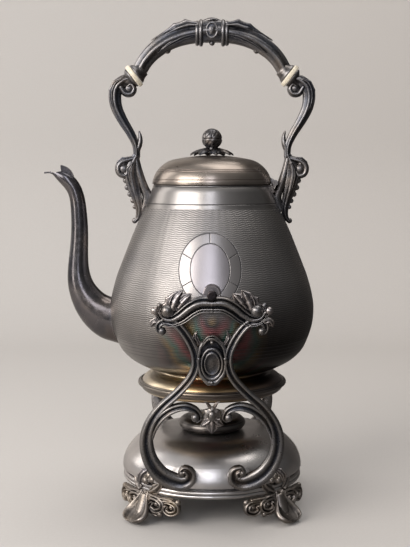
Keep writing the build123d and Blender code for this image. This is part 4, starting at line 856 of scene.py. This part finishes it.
def petalMesh():
    mesh = bpy.data.meshes.new("petalShape")
    form = newForm()
    rings = []
    for k in range(petalLook["steps"] + 1):
        s = k / petalLook["steps"]
        x = petalLook["start"] + petalLook["length"] * s
        half = petalLook["width"] / 2 * (0.35 + 0.65 * math.sin(math.pi * min(s * 0.75 + 0.12, 1.0))) * (1 - s ** 7)
        half *= 1 - 0.16 * abs(math.sin(3 * math.pi * s))
        height = petalLook["rise"] * (1 - s) ** 0.8 + 1.0 - petalLook["droop"] * max(0.0, s - 0.62) ** 1.4
        rings.append([(x * mm, u * max(half, 0.3) * mm, (height - abs(u) * 0.9 + v * (1.7 - 0.7 * s)) * mm)
                      for u, v in leafStrip])
    addRings(form, rings)
    mesh.from_pydata(form["points"], [], form["faces"])
    for face in mesh.polygons:
        face.use_smooth = True
    return mesh


def ringTree(name):  # copies of one shape round the axis; inputs: shape, count, height, material
    tree = bpy.data.node_groups.new(name, "GeometryNodeTree")
    sockets = {}
    for label, kind in (("Shape", "NodeSocketObject"), ("Count", "NodeSocketInt"), ("Height", "NodeSocketFloat"),
                        ("Finish", "NodeSocketMaterial")):
        sockets[label] = tree.interface.new_socket(name=label, in_out="INPUT", socket_type=kind).identifier
    tree.interface.new_socket(name="Geometry", in_out="OUTPUT", socket_type="NodeSocketGeometry")
    given = addNode(tree, "NodeGroupInput")
    circle = addNode(tree, "GeometryNodeMeshCircle", {"Vertices": given.outputs["Count"], "Radius": 0.001})
    lifted = addNode(tree, "ShaderNodeCombineXYZ", {"Z": given.outputs["Height"]})
    shape = addNode(tree, "GeometryNodeObjectInfo", {"Object": given.outputs["Shape"]})
    number = addNode(tree, "GeometryNodeInputIndex")
    step = addNode(tree, "ShaderNodeMath", [2 * math.pi, given.outputs["Count"]], operation="DIVIDE")
    turn = addNode(tree, "ShaderNodeMath", [number, step, 0.2], operation="MULTIPLY_ADD")
    about = addNode(tree, "ShaderNodeCombineXYZ", {"Z": turn})
    points = addNode(tree, "GeometryNodeMeshToPoints", {"Mesh": circle})
    middle = addNode(tree, "GeometryNodeSetPosition", {"Geometry": points, "Position": lifted})
    copies = addNode(tree, "GeometryNodeInstanceOnPoints",
                     {"Points": middle, "Instance": shape.outputs["Geometry"], "Rotation": about})
    real = addNode(tree, "GeometryNodeRealizeInstances", {"Geometry": copies})
    dressed = addNode(tree, "GeometryNodeSetMaterial", {"Geometry": real, "Material": given.outputs["Finish"]})
    addNode(tree, "NodeGroupOutput", {"Geometry": dressed})
    return tree, sockets


def makeRosette():
    petal = linkObject("petalShape", petalMesh())
    holder = linkObject("rosetteHolder", bpy.data.meshes.new("rosetteHolder"))
    tree, sockets = ringTree("petalRing")
    ring = holder.modifiers.new("ring", "NODES")
    ring.node_group = tree
    for label, value in (("Shape", petal), ("Count", petalLook["count"]), ("Height", petalLook["base"] * mm),
                         ("Finish", castMetal)):
        ring[sockets[label]] = value
    bpy.context.view_layer.update()
    ready = holder.evaluated_get(bpy.context.evaluated_depsgraph_get())
    mesh = bpy.data.meshes.new_from_object(ready)
    mesh.name = "rosetteLeaves"
    bpy.data.objects.remove(holder)
    bpy.data.objects.remove(petal)
    piece = linkObject("rosetteLeaves", mesh)
    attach(piece, "lid")
    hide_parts("finial_rosette")
    print("rosette faces", len(mesh.polygons))


makeRosette()

bud = {"centre": 313.0, "radius": 8.9, "rows": 60, "around": 96, "petals": 8, "cut": 0.07, "lean": 0.9, "twist": 4.2,
       "beltHalf": 0.09, "beltDepth": 0.05,
       "stem": [(5.2, 300.6), (5.6, 301.6), (4.6, 302.4), (3.4, 303.2), (3.6, 304.2), (4.8, 305.2)]}


def makeBud():
    form = newForm()
    rings = []
    for i in range(1, bud["rows"]):
        a = math.pi * i / bud["rows"]
        below = a - math.pi / 2
        ring = []
        for b in fullTurn(bud["around"]):
            # petals that lean below the belt and cross above it
            groove = abs(math.sin(bud["petals"] / 2 * (b + bud["lean"] * max(below, 0.0)))) ** 0.5
            if below < 0:
                groove = min(groove, abs(math.sin(bud["petals"] / 2 * b + bud["twist"] * a)) ** 0.5)
            belt = min(1.0, abs(below) / bud["beltHalf"])
            r = bud["radius"] * (1 - bud["cut"] * (1 - groove) * math.sin(a) - bud["beltDepth"] * (1 - belt))
            ring.append(turnedPoint(r * math.sin(a), bud["centre"] + r * math.cos(a), b))
        rings.append(ring)
    addRings(form, rings)
    addRings(form, [[turnedPoint(r, z, a) for a in fullTurn(32)] for r, z in bud["stem"]])
    piece = finishForm("finialBud", form, castMetal, "lid")
    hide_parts("finial_bud")


makeBud()
print("finial made")

# floor, light and camera

studio = {"paper": "#C6C4C2", "paintedLightPaper": "#C9C6C3", "paintedLightFrom": -0.15, "paintedLightTo": 0.3, "paintedReflectionLeft": "#C4C0BC",
          "paintedReflectionRight": "#4C4947", "paintedReflectionFrom": -0.3, "paintedReflectionTo": 0.2, "fibreScale": 420.0, "fibre": 0.05,
          "roughness": 0.95, "shine": 0.1, "front": -1.6, "middle": -0.4, "back": 0.75, "curve": 0.35,
          "curveSteps": 12, "width": 2.4, "height": 2.2, "glow": (1.0, 0.975, 0.955, 1.0),
          # strength of the room's glow from right to left, and its share from low to high
          "sideways": (0.9, -0.9, 0.1, 0.6), "upwards": (-0.3, 0.9, 0.6, 1.25)}


def makePaper():
    points, faces = [], []
    back, curve = studio["back"], studio["curve"]
    depth = [(studio["front"], 0.0), (studio["middle"], 0.0), (back, 0.0)]
    for k in range(1, studio["curveSteps"] + 1):
        a = math.pi / 2 * k / studio["curveSteps"]
        depth.append((back + curve * math.sin(a), curve * (1 - math.cos(a))))
    depth.append((back + curve, studio["height"]))
    for y, z in depth:
        points += [(-studio["width"], y, z), (studio["width"], y, z)]
    for k in range(len(depth) - 1):
        faces.append((2 * k, 2 * k + 1, 2 * k + 3, 2 * k + 2))
    mesh = bpy.data.meshes.new("paper")
    mesh.from_pydata(points, [], faces)
    for face in mesh.polygons:
        face.use_smooth = True
    material, tree, shader, place = newMaterial("matBackgroundPaper")
    fibre = addNode(tree, "ShaderNodeTexNoise", {"Vector": place, "Scale": studio["fibreScale"], "Detail": 4.0})
    # painted light: the paper turns slightly lighter towards the right, where the lamps fall off
    across = addNode(tree, "ShaderNodeSeparateXYZ", {"Vector": place}).outputs[0]
    paintedLightShare = addNode(tree, "ShaderNodeMapRange", [across, studio["paintedLightFrom"], studio["paintedLightTo"]])
    paperWithPaintedLight = addNode(tree, "ShaderNodeMixRGB", [paintedLightShare, studio["paper"], studio["paintedLightPaper"]])
    # painted reflection: glossy rays see the paper dark towards the right and pale to the left, so polished metal
    # shows a darker room than the open paper
    paintedReflectionShare = addNode(tree, "ShaderNodeMapRange", [across, studio["paintedReflectionFrom"], studio["paintedReflectionTo"]])
    paintedReflection = addNode(tree, "ShaderNodeMixRGB", [paintedReflectionShare, studio["paintedReflectionLeft"], studio["paintedReflectionRight"]])
    path = addNode(tree, "ShaderNodeLightPath")
    seen = addNode(tree, "ShaderNodeMixRGB", [path.outputs["Is Glossy Ray"], paperWithPaintedLight, paintedReflection])
    colour = addNode(tree, "ShaderNodeMixRGB", [studio["fibre"], seen, fibre])
    tree.links.new(colour.outputs[0], shader.inputs["Base Color"])
    shader.inputs["Roughness"].default_value = studio["roughness"]
    shader.inputs["Specular IOR Level"].default_value = studio["shine"]
    # one sided, so that the wall hides nothing when it is looked at from behind
    output = next(node for node in tree.nodes if node.type == "OUTPUT_MATERIAL")
    clear = addNode(tree, "ShaderNodeBsdfTransparent")
    behind = addNode(tree, "ShaderNodeNewGeometry").outputs["Backfacing"]
    oneSided = addNode(tree, "ShaderNodeMixShader", {0: behind, 1: shader, 2: clear})
    tree.links.new(oneSided.outputs[0], output.inputs["Surface"])
    mesh.materials.append(material)
    paper = linkObject("paper", mesh)


makePaper()

world = bpy.data.worlds.new("softRoom")
bpy.context.scene.world = world
world.use_nodes = True
room = world.node_tree
room.nodes.clear()
way = addNode(room, "ShaderNodeTexCoord").outputs["Generated"]
split = addNode(room, "ShaderNodeSeparateXYZ", {"Vector": way})
sideways = addNode(room, "ShaderNodeMapRange", [split.outputs[0], *studio["sideways"]])
upwards = addNode(room, "ShaderNodeMapRange", [split.outputs[2], *studio["upwards"]])
level = addNode(room, "ShaderNodeMath", [sideways, upwards], operation="MULTIPLY")
glow = addNode(room, "ShaderNodeBackground", {"Color": studio["glow"], "Strength": level})
addNode(room, "ShaderNodeOutputWorld", {"Surface": glow})

lamps = {  # spot, height on the axis that it points at, size, watts, tint
    "windowLeft": ((-1.15, -1.05, 0.95), 0.2, (1.3, 0.9), 24.0, "#FFF8F1"),
    "windowFront": ((-0.1, -1.75, 1.0), 0.15, (0.4, 1.4), 6.5, "#F2F3FC"),
    "lowLeft": ((-1.15, -0.8, 0.24), 0.12, (0.3, 0.3), 1.4, "#FFF4E8"),
    "ceiling": ((0.3, 0.2, 1.7), 0.1, (1.2, 1.0), 9.0, "#FFF9F3"),
    "backLeft": ((-1.3, 0.5, 0.8), 0.2, (0.5, 1.2), 4.0, "#FFF8F1")}
for name, (spot, aimed, size, watts, tint) in lamps.items():
    data = bpy.data.lights.new(name, "AREA")
    data.shape = "RECTANGLE"
    data.size, data.size_y = size
    data.energy = watts
    data.color = linear(tint)[:3]
    light = linkObject(name, data)
    light.location = spot
    away = (-spot[0], -spot[1], aimed - spot[2])
    light.rotation_euler = Vector(away).to_track_quat("-Z", "Y").to_euler()

view = {"sensor": 36.0, "distance": 0.86, "height": 0.2838, "focalPx": 1000.0, "wide": 410, "tall": 547,
        "horizonPx": 173.0, "axisPx": 212.0, "pitch": 2.9}
cameraData = bpy.data.cameras.new("camera")
cameraData.sensor_width = view["sensor"]
cameraData.lens = view["sensor"] * view["focalPx"] / view["tall"]
dropPx = view["tall"] / 2 - view["horizonPx"] - view["focalPx"] * math.tan(math.radians(view["pitch"]))
cameraData.shift_y = -dropPx / view["tall"]
cameraData.shift_x = -(view["axisPx"] - view["wide"] / 2) / view["tall"]
camera = linkObject("camera", cameraData)
camera.location = (0.0, -view["distance"], view["height"])
camera.rotation_euler = (math.radians(90 - view["pitch"]), 0.0, 0.0)
bpy.context.scene.camera = camera
bpy.context.scene.view_settings.view_transform = "Standard"
print("studio made")
